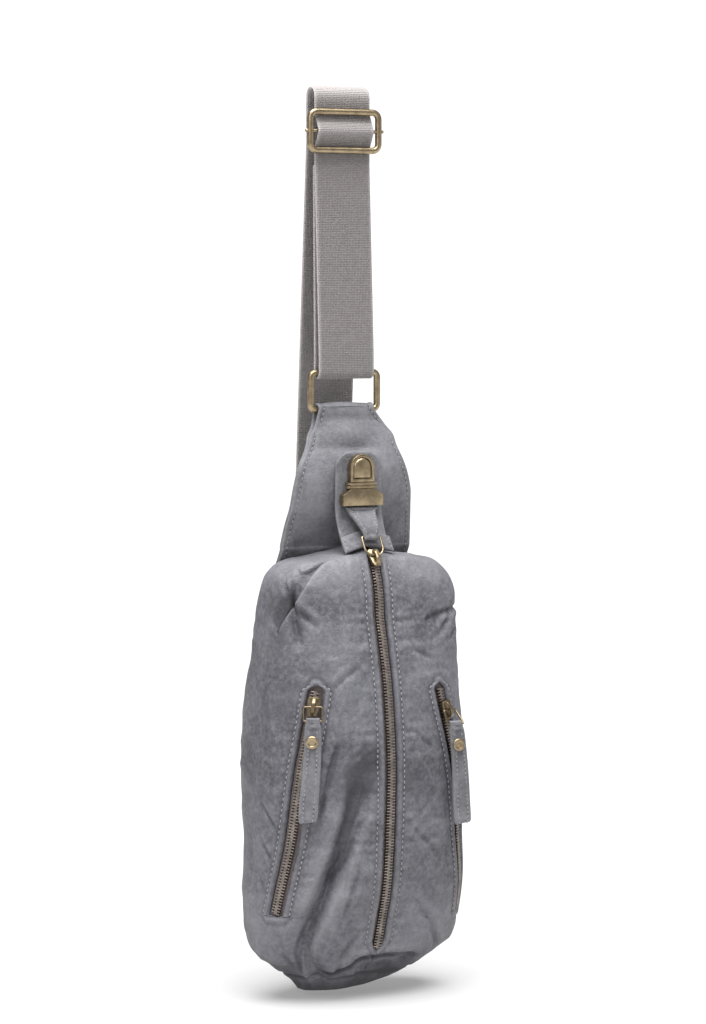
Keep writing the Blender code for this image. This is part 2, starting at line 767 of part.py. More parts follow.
def buckle_centre():
    bar_reach = BUCKLE_WIRE / 2 + BUCKLE_CLEAR + STRAP_THICK / 2
    return Vector((0.0, strap_front() - bar_reach, -BUCKLE_DROP))


def ring_centre():
    return Vector((0.0, -RING_SET_BACK, -RING_DROP))


def strap_path():
    """The webbing's route: from its sewn end behind the buckle, round the ring, over the top, to the back."""
    ring = ring_centre()
    fold = RING_WIRE / 2 + GAP + STRAP_THICK / 2
    bar = (ring.y, ring.z + RING_HEIGHT / 2 - RING_WIRE / 2)
    buckle = buckle_centre()
    bar_reach = BUCKLE_WIRE / 2 + BUCKLE_CLEAR + STRAP_THICK / 2
    pin_reach = PIN_RADIUS + GAP + STRAP_THICK / 2
    bar_rise = BUCKLE_HEIGHT / 2 - BUCKLE_WIRE / 2
    turn = math.degrees(math.asin((bar_reach + pin_reach) / bar_rise))
    low_bar = (buckle.y, buckle.z - bar_rise)
    high_bar = (buckle.y, buckle.z + bar_rise)
    sewn_top = low_bar[1] - BUCKLE_WIRE * 2.2
    layer_gap = STRAP_THICK + GAP
    path = [Vector((strap_front() + layer_gap, sewn_top))]
    path += [Vector((bar[0] + fold, bar[1] + 0.012 * k)) for k in (2, 1)]
    path += arc(bar, fold, 0, -180, 9)
    path += [Vector((bar[0] - fold, bar[1] + 0.012))]
    path += [Vector((strap_front(), sewn_top))]
    path += arc(low_bar, bar_reach, 0, turn, 4)
    path += arc((buckle.y, buckle.z), pin_reach, -180 + turn, -180 - turn, 6)
    path += arc(high_bar, bar_reach, -turn, 0, 4)
    top_centre = (0.0, -LOOP_RADIUS)
    path += arc(top_centre, LOOP_RADIUS + STRAP_THICK / 2, 180, 0, 11)
    return path + strap_back_run()


# The free run behind the bag: back as a share of the body's depth, down as a share of the drop to its top
STRAP_ROUTE = (
    (0.1085, 0.367),
    (0.1670, 0.663),
    (0.2028, 0.840),
    (0.2406, 1.033),
    (0.2736, 1.167),
)


def strap_back_run():
    """From the upper fold down behind the bag, then flat on its back to the sewn lower end."""
    clear = STRAP_CLEAR + STRAP_THICK / 2
    free = [(LOOP_RADIUS + STRAP_THICK / 2, -LOOP_RADIUS - 0.1 * -BODY_TOP)]
    free += [(back * BODY_DEPTH, drop * BODY_TOP) for back, drop in STRAP_ROUTE]
    held = []
    for down in spaced(0.36, STRAP_END, 10):
        place_on = on_body(math.pi, down, clear)
        held.append((place_on.y, place_on.z))
    return smooth_path(free + held, 40)


def strap():
    path = strap_path()
    ribbon("strap", path, [STRAP_WIDTH / 2] * len(path), STRAP_THICK, "webbing")


def ring_points(centre, width, height, wire, corner):
    return [
        Vector((x, 0, z)) + centre
        for x, z in rounded_loop(width - wire, height - wire, corner)
    ]


def hardware():
    wire_loop("yoke_ring", ring_points(ring_centre(), RING_WIDTH, RING_HEIGHT, RING_WIRE, RING_CORNER),
              RING_WIRE / 2)
    centre = buckle_centre()
    outline = ring_points(centre, BUCKLE_WIDTH, BUCKLE_HEIGHT, BUCKLE_WIRE, BUCKLE_CORNER)
    frame = wire_loop("buckle_frame", outline,
                      BUCKLE_WIRE / 2)
    cut(frame, rod("pin_hole_guide", centre, PIN_RADIUS + GAP, BUCKLE_WIDTH * 1.2))
    rod("buckle_pin", centre, PIN_RADIUS, BUCKLE_WIDTH + 2 * PIN_PROUD)


# Yoke and trim

YOKE_COLUMNS = ("down", "wide", "right", "lean", "bulge")
YOKE_ROWS = (
    (0.00, 0.000, 0.000, 0.000, 0.0),
    (0.12, 0.120, 0.052, 0.180, 0.3),
    (0.19, 0.270, 0.060, 0.310, 0.55),
    (0.28, 0.420, 0.032, 0.480, 0.8),
    (0.42, 0.690, 0.000, 0.690, 1.0),
    (0.58, 0.830, 0.000, 0.700, 1.0),
    (0.72, 0.880, 0.000, 0.560, 0.9),
    (0.86, 0.950, 0.000, 0.320, 0.5),
    (1.00, 1.000, 0.000, 0.170, 0.0),
)
YOKE_LEAN = 0.0160


def yoke():
    """Two plies folded over the ring's lower bar, bulging forward, lapped on the back panel's upper edge."""
    ring = ring_centre()
    bar = (ring.y, ring.z - RING_HEIGHT / 2 + RING_WIRE / 2)
    fold = RING_WIRE / 2 + GAP + LEATHER / 2
    rows = share_table(YOKE_COLUMNS, YOKE_ROWS)
    drop = bar[1] - (BODY_TOP + GAP)
    ply = LEATHER + GAP

    def lapped(down):
        return on_body(math.pi, down, GAP + LEATHER / 2)

    front, back, halves, bulges = [], [], [], []
    lap_rows = spaced(0.012, YOKE_LAP / BODY_HEIGHT, 5)
    for row in rows[1:]:
        z = bar[1] - drop * row["down"]
        together = min(1.0, row["down"] / 0.3)
        lean = row["lean"] * YOKE_LEAN
        joined = bar[0] - ply / 2 - lean
        y_front = bar[0] - fold + (joined - bar[0] + fold) * together
        y_back = bar[0] + fold + (joined + ply - bar[0] - fold) * together
        if row is rows[-1]:
            y_front = lapped(0.0).y
            y_back = y_front + ply
        front.append(Vector((y_front, z)))
        back.append(Vector((y_back, z)))
        half = (YOKE_NECK + (YOKE_FLARE - YOKE_NECK) * row["wide"]) / 2
        halves.append((half, half + row["right"] * YOKE_FLARE))
        bulges.append(row["bulge"])
    for down in lap_rows:
        seat = lapped(down)
        front.append(Vector((seat.y, seat.z)))
        back.append(Vector((seat.y + ply, seat.z)))
        halves.append((YOKE_FLARE / 2, YOKE_FLARE / 2))
        bulges.append(0.0)
    over = arc(bar, fold, 180, 0, 9)
    path = front[::-1] + over + back
    half_widths = halves[::-1] + [(YOKE_NECK / 2, YOKE_NECK / 2)] * len(over) + halves
    bulge_rows = bulges[::-1] + [0.0] * len(over) + bulges
    last = len(path) - 1

    def sag(share, x):
        k = round(share * last)
        off_centre = 1 - (x / half_widths[k][x > 0]) ** 2
        return Vector((-YOKE_BULGE * bulge_rows[k] * off_centre, 0.0))

    ribbon("yoke", path, half_widths, LEATHER, "trim", columns=7, sag=sag)


def patch_plane():
    """Y of the middle of the lock patch where it lies flat behind the lock."""
    ring = ring_centre()
    yoke_front = ring.y - (LEATHER + GAP) / 2 - 0.70 * YOKE_LEAN - YOKE_BULGE - LEATHER / 2
    return yoke_front - GAP - LEATHER / 2


def patch_path():
    y = patch_plane()
    end_z = BODY_TOP + PATCH_END_ABOVE
    fall = PATCH_TOP - end_z
    lean = y - main_slider_frame().translation.y - PATCH_SET_BACK
    return smooth_path(
        [
            (y, PATCH_TOP),
            (y, PATCH_TOP - 0.22 * fall),
            (y, PATCH_TOP - 0.44 * fall),
            (y, PATCH_TOP - 0.65 * fall),
            (y - 0.32 * lean, PATCH_TOP - 0.81 * fall),
            (y - lean, end_z),
        ],
        22,
    )


def droop(x, amount):
    return Vector((0.0, -PATCH_DROOP * amount * (abs(x) / (PATCH_WIDTH / 2)) ** 1.4))


def lock_patch():
    path = patch_path()
    half = PATCH_WIDTH / 2
    round_end = [0.45, 0.75, 0.93]
    halves = [half * r for r in round_end] + [half] * (len(path) - len(round_end))

    def sag(share, x):
        return droop(x, max(0.0, (share - 0.6) / 0.4) ** 1.5)

    ribbon("lock_patch", path, halves, LEATHER, "trim", columns=7, sag=sag)


def end_tab():
    path = patch_path()
    end, before = path[-1], path[-4]
    run = (end - before).normalized()
    outward = Vector((run.y, -run.x))
    raised = LEATHER + END_TAB_CLEAR
    start = end - run * END_TAB_LENGTH * 0.70
    route = [start + run * END_TAB_LENGTH * t + outward * raised for t in spaced(0.0, 1.0, 5)]
    ribbon("end_tab", route, [END_TAB_WIDTH / 2] * len(route), LEATHER, "trim", columns=9,
           sag=lambda share, x: droop(x, 1.0))


# Tuck lock

def lock_origin():
    """Middle of the lock's foot, on the front of the lock patch."""
    front = patch_plane() - LEATHER / 2 - GAP
    return Vector((0.0, front, PATCH_TOP - LOCK_TOP - LOCK_HEIGHT))


def lock_frame_matrix():
    return local_frame(lock_origin(), Vector((0, 0, 1)), Vector((0, -1, 0)))


def arch_outline(width, height, foot=0.0):
    """A flat foot and a round top."""
    radius = width / 2
    top = [(radius * math.cos(math.radians(t)), height - radius + radius * math.sin(math.radians(t)))
           for t in spaced(0, 180, 13)]
    return [(radius, foot)] + top + [(-radius, foot)]


def inset_arch(margin):
    """The lock's window, or what fits in it, a margin inside the outer arch."""
    width = LOCK_WIDTH - 2 * margin
    height = LOCK_HEIGHT - margin
    return arch_outline(width, height, foot=margin)


def tuck_lock():
    at = lock_frame_matrix()
    frame = prism("lock_frame", arch_outline(LOCK_WIDTH, LOCK_HEIGHT), 0.0, LOCK_DEPTH, at, "brass")
    window = prism("lock_window_guide", inset_arch(LOCK_RIM), LOCK_BACK, 2 * LOCK_DEPTH, at, "brass")
    cut(frame, window)
    button_under = LOCK_BACK + BUTTON_TRAVEL + GAP
    dome_prism("lock_button", LOCK_RIM + GAP, button_under, button_under + BUTTON_THICK, at)
    lock_plate(at)


def dome_prism(name, margin, under, top, at):
    """The spring button: the window's outline with a stepped round top."""
    levels = [(0.0, under)] + [(inset, top - below) for inset, below in BUTTON_STEPS]
    outlines = [inset_arch(margin + step) for step, _ in levels]
    count = len(outlines[0])
    verts = [at @ Vector((x, up, level)) for outline, (_, level) in zip(outlines, levels) for x, up in outline]
    faces = []
    for r in range(len(levels) - 1):
        for k in range(count):
            n = (k + 1) % count
            faces.append((r * count + k, r * count + n, (r + 1) * count + n, (r + 1) * count + k))
    faces.append(tuple(range(count)))
    faces.append(tuple(range((len(levels) - 1) * count, len(levels) * count)))
    place(name, mesh_from(name, verts, faces), "brass")


def lock_plate(at):
    """The lock's loose half: a plate with cut shoulders, and two ribs on its neck against the frame's foot."""
    top = -GAP
    shoulder = top - PLATE_NECK
    w, s = PLATE_WIDTH / 2, PLATE_SHOULDER / 2
    low = shoulder - PLATE_HEIGHT
    outline = [(s, shoulder), (w, shoulder - PLATE_CHAMFER), (w, low), (-w, low), (-w, shoulder - PLATE_CHAMFER),
               (-s, shoulder)]
    plate = prism("lock_plate", outline, 2 * GAP, PLATE_THICK, at, "brass")
    r = PLATE_RIB_WIDTH / 2
    for k in range(2):
        high = top - k * (PLATE_RIB_HEIGHT + PLATE_RIB_GAP)
        rib = [(r, high), (r, high - PLATE_RIB_HEIGHT), (-r, high - PLATE_RIB_HEIGHT), (-r, high)]
        cut(plate, prism("rib_guide_%d" % k, rib, PLATE_RIB_BACK, LOCK_DEPTH - GAP, at, "brass"), "UNION")
    web_top, web_foot = top - PLATE_RIB_GAP / 3, shoulder - PLATE_RIB_HEIGHT
    web = [(s * 0.9, web_top), (s * 0.9, web_foot), (-s * 0.9, web_foot), (-s * 0.9, web_top)]
    cut(plate, prism("neck_guide", web, LOCK_BACK, LOCK_DEPTH - LOCK_BACK, at, "brass"), "UNION")


def lock_tab_ends():
    """Upper and lower end of the leather tab below the lock plate, as (y, z)."""
    at = lock_origin()
    top = Vector((at.y - PLATE_THICK * 0.6, at.z - 4 * GAP - PLATE_NECK - PLATE_HEIGHT))
    foot = lock_ring_ends()[0]
    return top, foot


def lock_ring_ends():
    """Upper bar and lower bend of the wire ring, as (y, z): in the tab's fold and under the slider's crown."""
    frame = main_slider_frame()
    low = frame @ Vector((0.0, 0.001, SLIDER_THICK + GAP + BAIL_WIRE / 2))
    low = Vector((low.y, low.z))
    high = low + Vector(LOCK_RING_RUN)
    return high, low


def lock_tab():
    top, foot = lock_tab_ends()
    run = (foot - top).normalized()
    end = foot + run * (BAIL_WIRE / 2 + GAP + LEATHER * 0.8)
    bow = Vector((-LOCK_TAB_BOW, 0.0))
    upright = top - Vector((0.0, 0.0035))
    path = smooth_path([top, upright, upright + (end - upright) * 0.5 + bow, end], 10)
    halves = []
    for k in range(len(path)):
        t = k / (len(path) - 1)
        halves.append((LOCK_TAB_TOP + (LOCK_TAB_FOOT - LOCK_TAB_TOP) * min(1.0, t * 1.15) ** 1.2) / 2)
    tab = ribbon("lock_tab", path, halves, LOCK_TAB_THICK, "trim", columns=3)
    centre = Vector((0.0, foot.x, foot.y))
    cut(tab, rod("tab_bore_guide", centre, BAIL_WIRE / 2 + GAP, LOCK_TAB_TOP * 1.5, sides=10))


def main_slider_frame():
    return slider_frame(0.0, MAIN_ZIP_TOP + MAIN_SLIDER_BELOW)


def lock_ring():
    high, low = lock_ring_ends()
    run = low - high
    middle = (high + low) / 2
    up = -run.normalized()
    points = []
    for x, along in rounded_loop(LOCK_RING_WIDTH, run.length, LOCK_RING_BEND, 5, LOCK_RING_CORNER):
        y, z = middle + up * along
        points.append(Vector((x, y, z)))
    wire_loop("lock_ring", points, BAIL_WIRE / 2, sides=6)


def main():
    for old in list(bpy.data.objects):
        bpy.data.objects.remove(old)
    front_panel(-1)
    front_panel(1)
    back_panel()
    base_panel()
    main_zip()
    slider("main_slider", main_slider_frame())
    pocket_zip(-1)
    pocket_zip(1)
    strap()
    hardware()
    yoke()
    lock_patch()
    end_tab()
    tuck_lock()
    lock_tab()
    lock_ring()


main()
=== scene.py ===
"""Leather sling bag on a pale studio floor: crumpled leather, brass zips, tuck lock and webbing strap."""

import json
import math

import bmesh
import bpy
import numpy as np
from mathutils import Matrix, Vector, noise

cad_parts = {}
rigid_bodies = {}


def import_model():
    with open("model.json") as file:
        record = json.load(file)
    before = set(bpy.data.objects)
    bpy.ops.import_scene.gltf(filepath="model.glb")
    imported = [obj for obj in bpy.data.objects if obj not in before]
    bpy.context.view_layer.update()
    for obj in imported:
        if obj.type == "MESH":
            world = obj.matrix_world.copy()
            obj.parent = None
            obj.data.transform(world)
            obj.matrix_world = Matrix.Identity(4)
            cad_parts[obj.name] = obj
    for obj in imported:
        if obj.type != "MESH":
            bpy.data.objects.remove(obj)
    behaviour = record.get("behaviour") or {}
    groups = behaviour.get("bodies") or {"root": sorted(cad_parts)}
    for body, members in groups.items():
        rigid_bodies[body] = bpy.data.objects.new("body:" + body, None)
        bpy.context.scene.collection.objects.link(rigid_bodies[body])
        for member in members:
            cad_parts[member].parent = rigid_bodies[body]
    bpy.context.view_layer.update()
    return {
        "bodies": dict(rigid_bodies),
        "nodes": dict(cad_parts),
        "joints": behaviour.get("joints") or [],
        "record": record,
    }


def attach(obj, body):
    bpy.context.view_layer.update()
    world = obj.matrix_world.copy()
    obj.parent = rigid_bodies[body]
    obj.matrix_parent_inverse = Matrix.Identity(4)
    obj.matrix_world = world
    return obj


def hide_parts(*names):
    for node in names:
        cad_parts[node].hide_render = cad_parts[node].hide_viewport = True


bl_info = {
    "name": "Sling bag",
    "version": (1, 0, 0),
    "blender": (4, 5, 0),
    "location": "View3D > Sidebar > Sling bag",
    "description": "Builds a washed leather sling bag piece by piece",
    "category": "Object",
}

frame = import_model()
NODES = frame["nodes"]

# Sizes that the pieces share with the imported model, in metres
BODY_WIDTH = 0.151
BODY_DEPTH = 0.106
BODY_HEIGHT = 0.297
BODY_TOP = -0.300
BODY_MID = -0.022
WALL = 0.002
GAP = 0.0003
ROOF_SEAM = 0.0020
MAIN_SLOT = 0.0086
POCKET_SLOT = 0.0104
CHAIN_WIDTH = 0.0060
CHAIN_HEIGHT = 0.0024
TAPE_THICK = 0.0008
TAPE_LAP = 0.0050
TAPE_SINK = 0.0008
LEATHER = 0.0020
YOKE_NECK = 0.0415
YOKE_FLARE = 0.0960
YOKE_LAP = 0.0300
YOKE_BULGE = 0.0055
YOKE_LEAN = 0.0160
PATCH_WIDTH = 0.0345
PATCH_TOP = -0.2380
PATCH_SET_BACK = 0.0105
PATCH_DROOP = 0.0045
END_TAB_WIDTH = 0.0365
END_TAB_LENGTH = 0.0125
END_TAB_CLEAR = 0.0010
STRAP_WIDTH = 0.0410
STRAP_THICK = 0.0018
LOOP_RADIUS = 0.0050
STRAP_CLEAR = 0.0006
STRAP_END = 0.855
RING_WIDTH = 0.0540
RING_HEIGHT = 0.0290
RING_WIRE = 0.0045
RING_CORNER = 0.0036
RING_DROP = 0.1990
RING_SET_BACK = 0.0085
BUCKLE_WIDTH = 0.0550
BUCKLE_HEIGHT = 0.0295
BUCKLE_WIRE = 0.0044
BUCKLE_CORNER = 0.0045
BUCKLE_DROP = 0.0280
BUCKLE_CLEAR = 0.0004
PIN_RADIUS = 0.0012
BAIL_WIRE = 0.0014
BAIL_WIDTH = 0.0120
BAIL_LENGTH = 0.0105
BAIL_CORNER = 0.0012
SLIDER_THICK = 0.0022
MAIN_SLIDER_BELOW = 0.012
POCKET_ZIP_ABOVE = {-1: 0.0130, 1: 0.0180}
PULL_WIDTH = 0.0110
PULL_LENGTH = 0.0660
PULL_THICK = 0.0034
RIVET_RADIUS = 0.0043
RIVET_HEIGHT = 0.0012
RIVET_DROP = 0.0135
# How a pull hangs: how far its loop stands out, its turn to the left in degrees, its foot's lean to the right
PULL_STAND = {-1: 0.0, 1: 0.0030}
PULL_TURN = {-1: 0.0, 1: 26.0}
PULL_LEAN = {-1: -0.0027, 1: 0.0055}
PIN_LENGTH = 0.0582
LOCK_TAB_TOP = 0.0250
LOCK_TAB_FOOT = 0.0105
LOCK_TAB_THICK = 0.0034
LOCK_TAB_BOW = 0.0026
LOCK_HEIGHT = 0.0182
LOCK_TOP = 0.0018
PLATE_THICK = 0.0060
PLATE_NECK = 0.0044
PLATE_HEIGHT = 0.0108
LOCK_RING_WIDTH = 0.0135
LOCK_RING_BEND = 0.0055
LOCK_RING_CORNER = 0.0012
LOCK_RING_RUN = (0.0068, 0.0115)
FLOOR = -0.6000

SECTION_COLUMNS = ("down", "wide", "mid", "front", "back", "shift", "front_square", "back_square")
SECTIONS = (
    (0.000, 0.021, 0.040, 0.170, 0.085, 0.00, 2.4, 5.0),
    (0.012, 0.200, 0.040, 0.222, 0.090, 0.00, 2.5, 5.0),
    (0.022, 0.425, 0.038, 0.260, 0.104, 0.00, 2.8, 5.0),
    (0.034, 0.662, 0.030, 0.283, 0.127, 0.00, 3.0, 5.0),
    (0.051, 0.775, 0.000, 0.300, 0.160, 0.00, 3.2, 4.5),
    (0.076, 0.840, -0.028, 0.324, 0.202, 0.00, 3.6, 4.0),
    (0.108, 0.874, -0.038, 0.342, 0.252, 0.00, 3.8, 3.5),
    (0.152, 0.886, -0.038, 0.365, 0.318, -0.01, 3.5, 3.0),
    (0.219, 0.905, -0.019, 0.414, 0.396, -0.01, 3.0, 2.7),
    (0.320, 0.948, 0.005, 0.474, 0.468, -0.01, 2.6, 2.5),
    (0.482, 1.000, 0.019, 0.503, 0.500, 0.00, 2.5, 2.5),
    (0.640, 0.980, 0.000, 0.481, 0.481, 0.00, 2.5, 2.5),
    (0.751, 1.000, 0.009, 0.443, 0.462, 0.00, 2.5, 2.5),
    (0.832, 0.990, 0.019, 0.372, 0.425, 0.00, 2.5, 2.5),
    (0.892, 0.935, 0.028, 0.321, 0.350, -0.01, 2.5, 2.5),
    (0.936, 0.725, 0.066, 0.250, 0.270, -0.03, 2.4, 2.4),
    (0.970, 0.505, 0.075, 0.150, 0.186, -0.06, 2.3, 2.3),
    (0.992, 0.335, 0.080, 0.050, 0.130, -0.15, 2.2, 2.2),
)
TABLE = [dict(zip(SECTION_COLUMNS, row)) for row in SECTIONS]

# Broad folds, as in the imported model: from and to (degrees, share of the height), width and depth as shares
FOLDS = (
    (-14.0, 0.545, -26.0, 0.725, 0.055, 0.034),
    (-26.0, 0.725, -42.0, 0.935, 0.065, 0.050),
    (-11.0, 0.700, -25.0, 0.930, 0.050, -0.018),
    (-58.0, 0.100, -50.0, 0.190, 0.040, 0.045),
    (62.0, 0.125, 30.0, 0.165, 0.035, 0.025),
    (-4.0, 0.945, 26.0, 0.930, 0.030, 0.030),
)

# Creases in the washed leather: from and to (degrees, share of the height), half width and depth in metres
CREASES = (
    (-70.0, 0.075, -46.0, 0.150, 0.0022, 0.0016),
    (-52.0, 0.120, -30.0, 0.165, 0.0026, 0.0014),
    (52.0, 0.150, 24.0, 0.205, 0.0024, 0.0014),
    (66.0, 0.180, 40.0, 0.215, 0.0018, 0.0010),
    (-9.0, 0.560, -20.0, 0.690, 0.0022, 0.0012),
    (-16.0, 0.640, -30.0, 0.780, 0.0026, 0.0015),
    (-24.0, 0.740, -38.0, 0.900, 0.0024, 0.0016),
    (-12.0, 0.690, -19.0, 0.830, 0.0018, 0.0010),
    (-34.0, 0.800, -52.0, 0.935, 0.0022, 0.0012),
    (-8.0, 0.850, -22.0, 0.940, 0.0020, 0.0010),
    (-80.0, 0.560, -66.0, 0.620, 0.0016, 0.0010),
    (-84.0, 0.640, -68.0, 0.690, 0.0016, 0.0010),
    (-82.0, 0.720, -70.0, 0.800, 0.0016, 0.0009),
    (8.0, 0.220, 26.0, 0.250, 0.0018, 0.0008),
    (-8.0, 0.250, -26.0, 0.300, 0.0018, 0.0008),
    (9.0, 0.400, 22.0, 0.450, 0.0016, 0.0007),
    (-8.0, 0.420, -20.0, 0.470, 0.0016, 0.0007),
    (10.0, 0.620, 30.0, 0.700, 0.0018, 0.0008),
    (12.0, 0.780, 40.0, 0.900, 0.0022, 0.0012),
    (20.0, 0.840, 52.0, 0.930, 0.0020, 0.0010),
    (70.0, 0.300, 84.0, 0.420, 0.0018, 0.0009),
    (78.0, 0.500, 92.0, 0.640, 0.0020, 0.0010),
    (150.0, 0.180, 205.0, 0.230, 0.0026, 0.0012),
    (160.0, 0.560, 135.0, 0.700, 0.0024, 0.0012),
    (200.0, 0.600, 226.0, 0.760, 0.0024, 0.0012),
)

SIDE_SEAM = math.radians(125)
BASE_SEAM = 0.955
MAIN_ZIP_TOP = 0.014
MAIN_ZIP_FOOT = 0.892
MAIN_CHAIN_TOP = 0.022
# How far the stitches stand from the lips of the zips
ZIP_STITCH_INSET = 0.0053

SIDES = ((-1, "left"), (1, "right"))

# Ends of the pocket zips on each side, 1 being the right
POCKET_TOP = {-1: (37.2, 0.294), 1: (29.0, 0.302)}
POCKET_FOOT = {-1: (64.4, 0.806), 1: (62.0, 0.830)}

# Raised lines (and sunk ones, below zero): height, width to the left and to the right in metres, and the
# places (degrees, share of the height) from top to bottom. The soft sides are tucked in behind the front's
# upper edges.
LINES = (
    (0.0011, 0.0012, 0.0070, (
        (-40, 0.020), (-34, 0.036), (-38, 0.062), (-43, 0.088), (-52, 0.110), (-60, 0.131), (-70, 0.165),
        (-73, 0.182))),
    (-0.0034, 0.0150, 0.0016, (
        (-44, 0.022), (-39, 0.038), (-42, 0.064), (-46.5, 0.090), (-55, 0.113), (-63, 0.134), (-73, 0.168),
        (-76, 0.186))),
    (-0.0022, 0.0015, 0.0012, ((-47, 0.095), (-55, 0.116), (-62, 0.136), (-72, 0.167), (-76, 0.190))),
    (0.0011, 0.0070, 0.0012, (
        (60, 0.012), (70, 0.020), (79, 0.030), (90, 0.047), (96, 0.063), (95, 0.085), (90, 0.106))),
    (-0.0036, 0.0016, 0.0200, (
        (66, 0.010), (76, 0.018), (86, 0.028), (96, 0.044), (102, 0.062), (101, 0.088), (97, 0.112))),
    (-0.0018, 0.0016, 0.0022, ((92, 0.136), (60, 0.144), (28, 0.150), (16, 0.166))),
    (0.0010, 0.0040, 0.0020, ((84, 0.156), (54, 0.158), (30, 0.162))),
    (-0.0030, 0.0080, 0.0048, (
        (-2, 0.420), (-7, 0.480), (-11, 0.514), (-17, 0.604), (-23, 0.694), (-31, 0.791), (-40, 0.887),
        (-44, 0.935))),
    (0.0018, 0.0016, 0.0085, (
        (-5, 0.505), (-14, 0.597), (-20, 0.679), (-26.5, 0.772), (-34, 0.853), (-43, 0.910), (-51, 0.945),
        (-57, 0.968))),
    (0.0022, 0.0090, 0.0050, ((-22, 0.540), (-29, 0.640), (-36, 0.720), (-46, 0.810))),
    (-0.0016, 0.0018, 0.0030, ((-24, 0.410), (-27, 0.450), (-32, 0.520), (-37, 0.600))),
    (-0.0010, 0.0040, 0.0040, ((-60, 0.840), (-58, 0.890), (-56, 0.930))),
    (0.0010, 0.0030, 0.0030, ((34, 0.902), (10, 0.893), (-5, 0.893), (-14, 0.912), (-40, 0.925))),
    (-0.0024, 0.0016, 0.0012, (
        (42, 0.927), (24, 0.919), (10, 0.912), (-5, 0.912), (-12, 0.930), (-26, 0.942), (-43, 0.948))),
)


# Settings

def colour_setting(name, description, default):
    return bpy.props.FloatVectorProperty(
        name=name, description=description, subtype="COLOR", size=3, min=0.0, max=1.0, default=default)


def length_setting(name, description, low, high, default):
    return bpy.props.FloatProperty(
        name=name, description=description, unit="LENGTH", min=low, max=high, default=default, precision=4)


class SlingBagLeather(bpy.types.PropertyGroup):
    body: colour_setting("Body leather", "Main colour of the washed leather", (0.086, 0.085, 0.100))
    trim: colour_setting("Trim leather", "Colour of the yoke, patch, tabs and pulls", (0.132, 0.133, 0.146))
    # Colour of scuffed edges and ridges, also used as the colour of painted light where surfaces face the
    # light.
    worn_and_lit: colour_setting("Worn edges", "Colour where edges and ridges are rubbed", (0.27, 0.266, 0.285))
    thread: colour_setting("Thread", "Colour of the stitching", (0.25, 0.246, 0.256))
    crumple: length_setting(
        "Crumple", "Height of the uneven surface of the soft leather", 0.0, 0.004, 0.0016)
    stitch_pitch: length_setting(
        "Stitch pitch", "Distance from one stitch to the next", 0.002, 0.008, 0.0036)


class SlingBagMetal(bpy.types.PropertyGroup):
    brass: colour_setting("Antique brass", "Colour of rings, lock, sliders and rivets", (0.40, 0.315, 0.20))
    chain: colour_setting("Zip teeth", "Colour of the zip teeth", (0.33, 0.285, 0.255))
    tooth_pitch: length_setting(
        "Tooth pitch", "Distance from one tooth to the next in a row", 0.001, 0.005, 0.0020)


class SlingBagCloth(bpy.types.PropertyGroup):
    webbing: colour_setting("Webbing", "Colour of the strap's yarn", (0.262, 0.244, 0.239))
    tape: colour_setting("Zip tape", "Colour of the woven tape beside the teeth", (0.215, 0.176, 0.168))
    basket: length_setting(
        "Basket size", "Distance from one basket of the strap's weave to the next", 0.0005, 0.006, 0.0023)


class SlingBagStage(bpy.types.PropertyGroup):
    floor: colour_setting("Floor", "Colour of the studio floor", (0.42, 0.42, 0.42))
    turn: bpy.props.FloatProperty(
        name="Camera turn", description="How far the camera stands round to the left of the front",
        subtype="ANGLE", default=math.radians(-28))
    rise: bpy.props.FloatProperty(
        name="Camera rise", description="How far the camera looks down",
        subtype="ANGLE", default=math.radians(4))
    distance: bpy.props.FloatProperty(
        name="Camera distance", description="Distance from the camera to the bag",
        unit="LENGTH", default=2.205)
    lens: bpy.props.FloatProperty(
        name="Lens", description="Focal length in millimetres", unit="CAMERA", default=116.3)


# Body surface

def spaced(start, end, count):
    return [start + (end - start) * i / (count - 1) for i in range(count)]


def smooth_step(value):
    t = np.clip(value, 0.0, 1.0)
    return t * t * (3 - 2 * t)


def bell(distance, width):
    """A smooth bump: 1 at no distance, and close to 0 at twice the width."""
    return np.exp(-((distance / width) ** 2))


def wrapped(angles):
    """Angles brought to within half a turn of the front."""
    return (np.asarray(angles) + math.pi) % (2 * math.pi) - math.pi


def unrolled(angles, down):
    """Places of a row on the body rolled out flat, in metres."""
    return np.stack((angles * BODY_WIDTH / 2, np.full(angles.shape, down * BODY_HEIGHT)), -1)


def unrolled_point(degrees, down):
    return np.array((math.radians(degrees) * BODY_WIDTH / 2, down * BODY_HEIGHT))


def read_section(down):
    """The body's section at a share of its height, on a smooth curve through the table."""
    last = len(TABLE) - 1
    i = max(k for k in range(last) if TABLE[k]["down"] <= max(down, 0.0)) if down > 0 else 0
    before, here, after, beyond = TABLE[max(i - 1, 0)], TABLE[i], TABLE[i + 1], TABLE[min(i + 2, last)]
    span = after["down"] - here["down"]
    t = (down - here["down"]) / span
    section = {}
    for key in SECTION_COLUMNS:
        slope_in = (after[key] - before[key]) / (after["down"] - before["down"]) * span
        slope_out = (beyond[key] - here[key]) / (beyond["down"] - here["down"]) * span
        rise = after[key] - here[key]
        limit = 3 * abs(rise)
        slope_in = max(-limit, min(limit, slope_in)) if slope_in * rise > 0 else 0.0
        slope_out = max(-limit, min(limit, slope_out)) if slope_out * rise > 0 else 0.0
        section[key] = (
            here[key] * (2 * t**3 - 3 * t**2 + 1)
            + slope_in * (t**3 - 2 * t**2 + t)
            + after[key] * (3 * t**2 - 2 * t**3)
            + slope_out * (t**3 - t**2)
        )
    return section


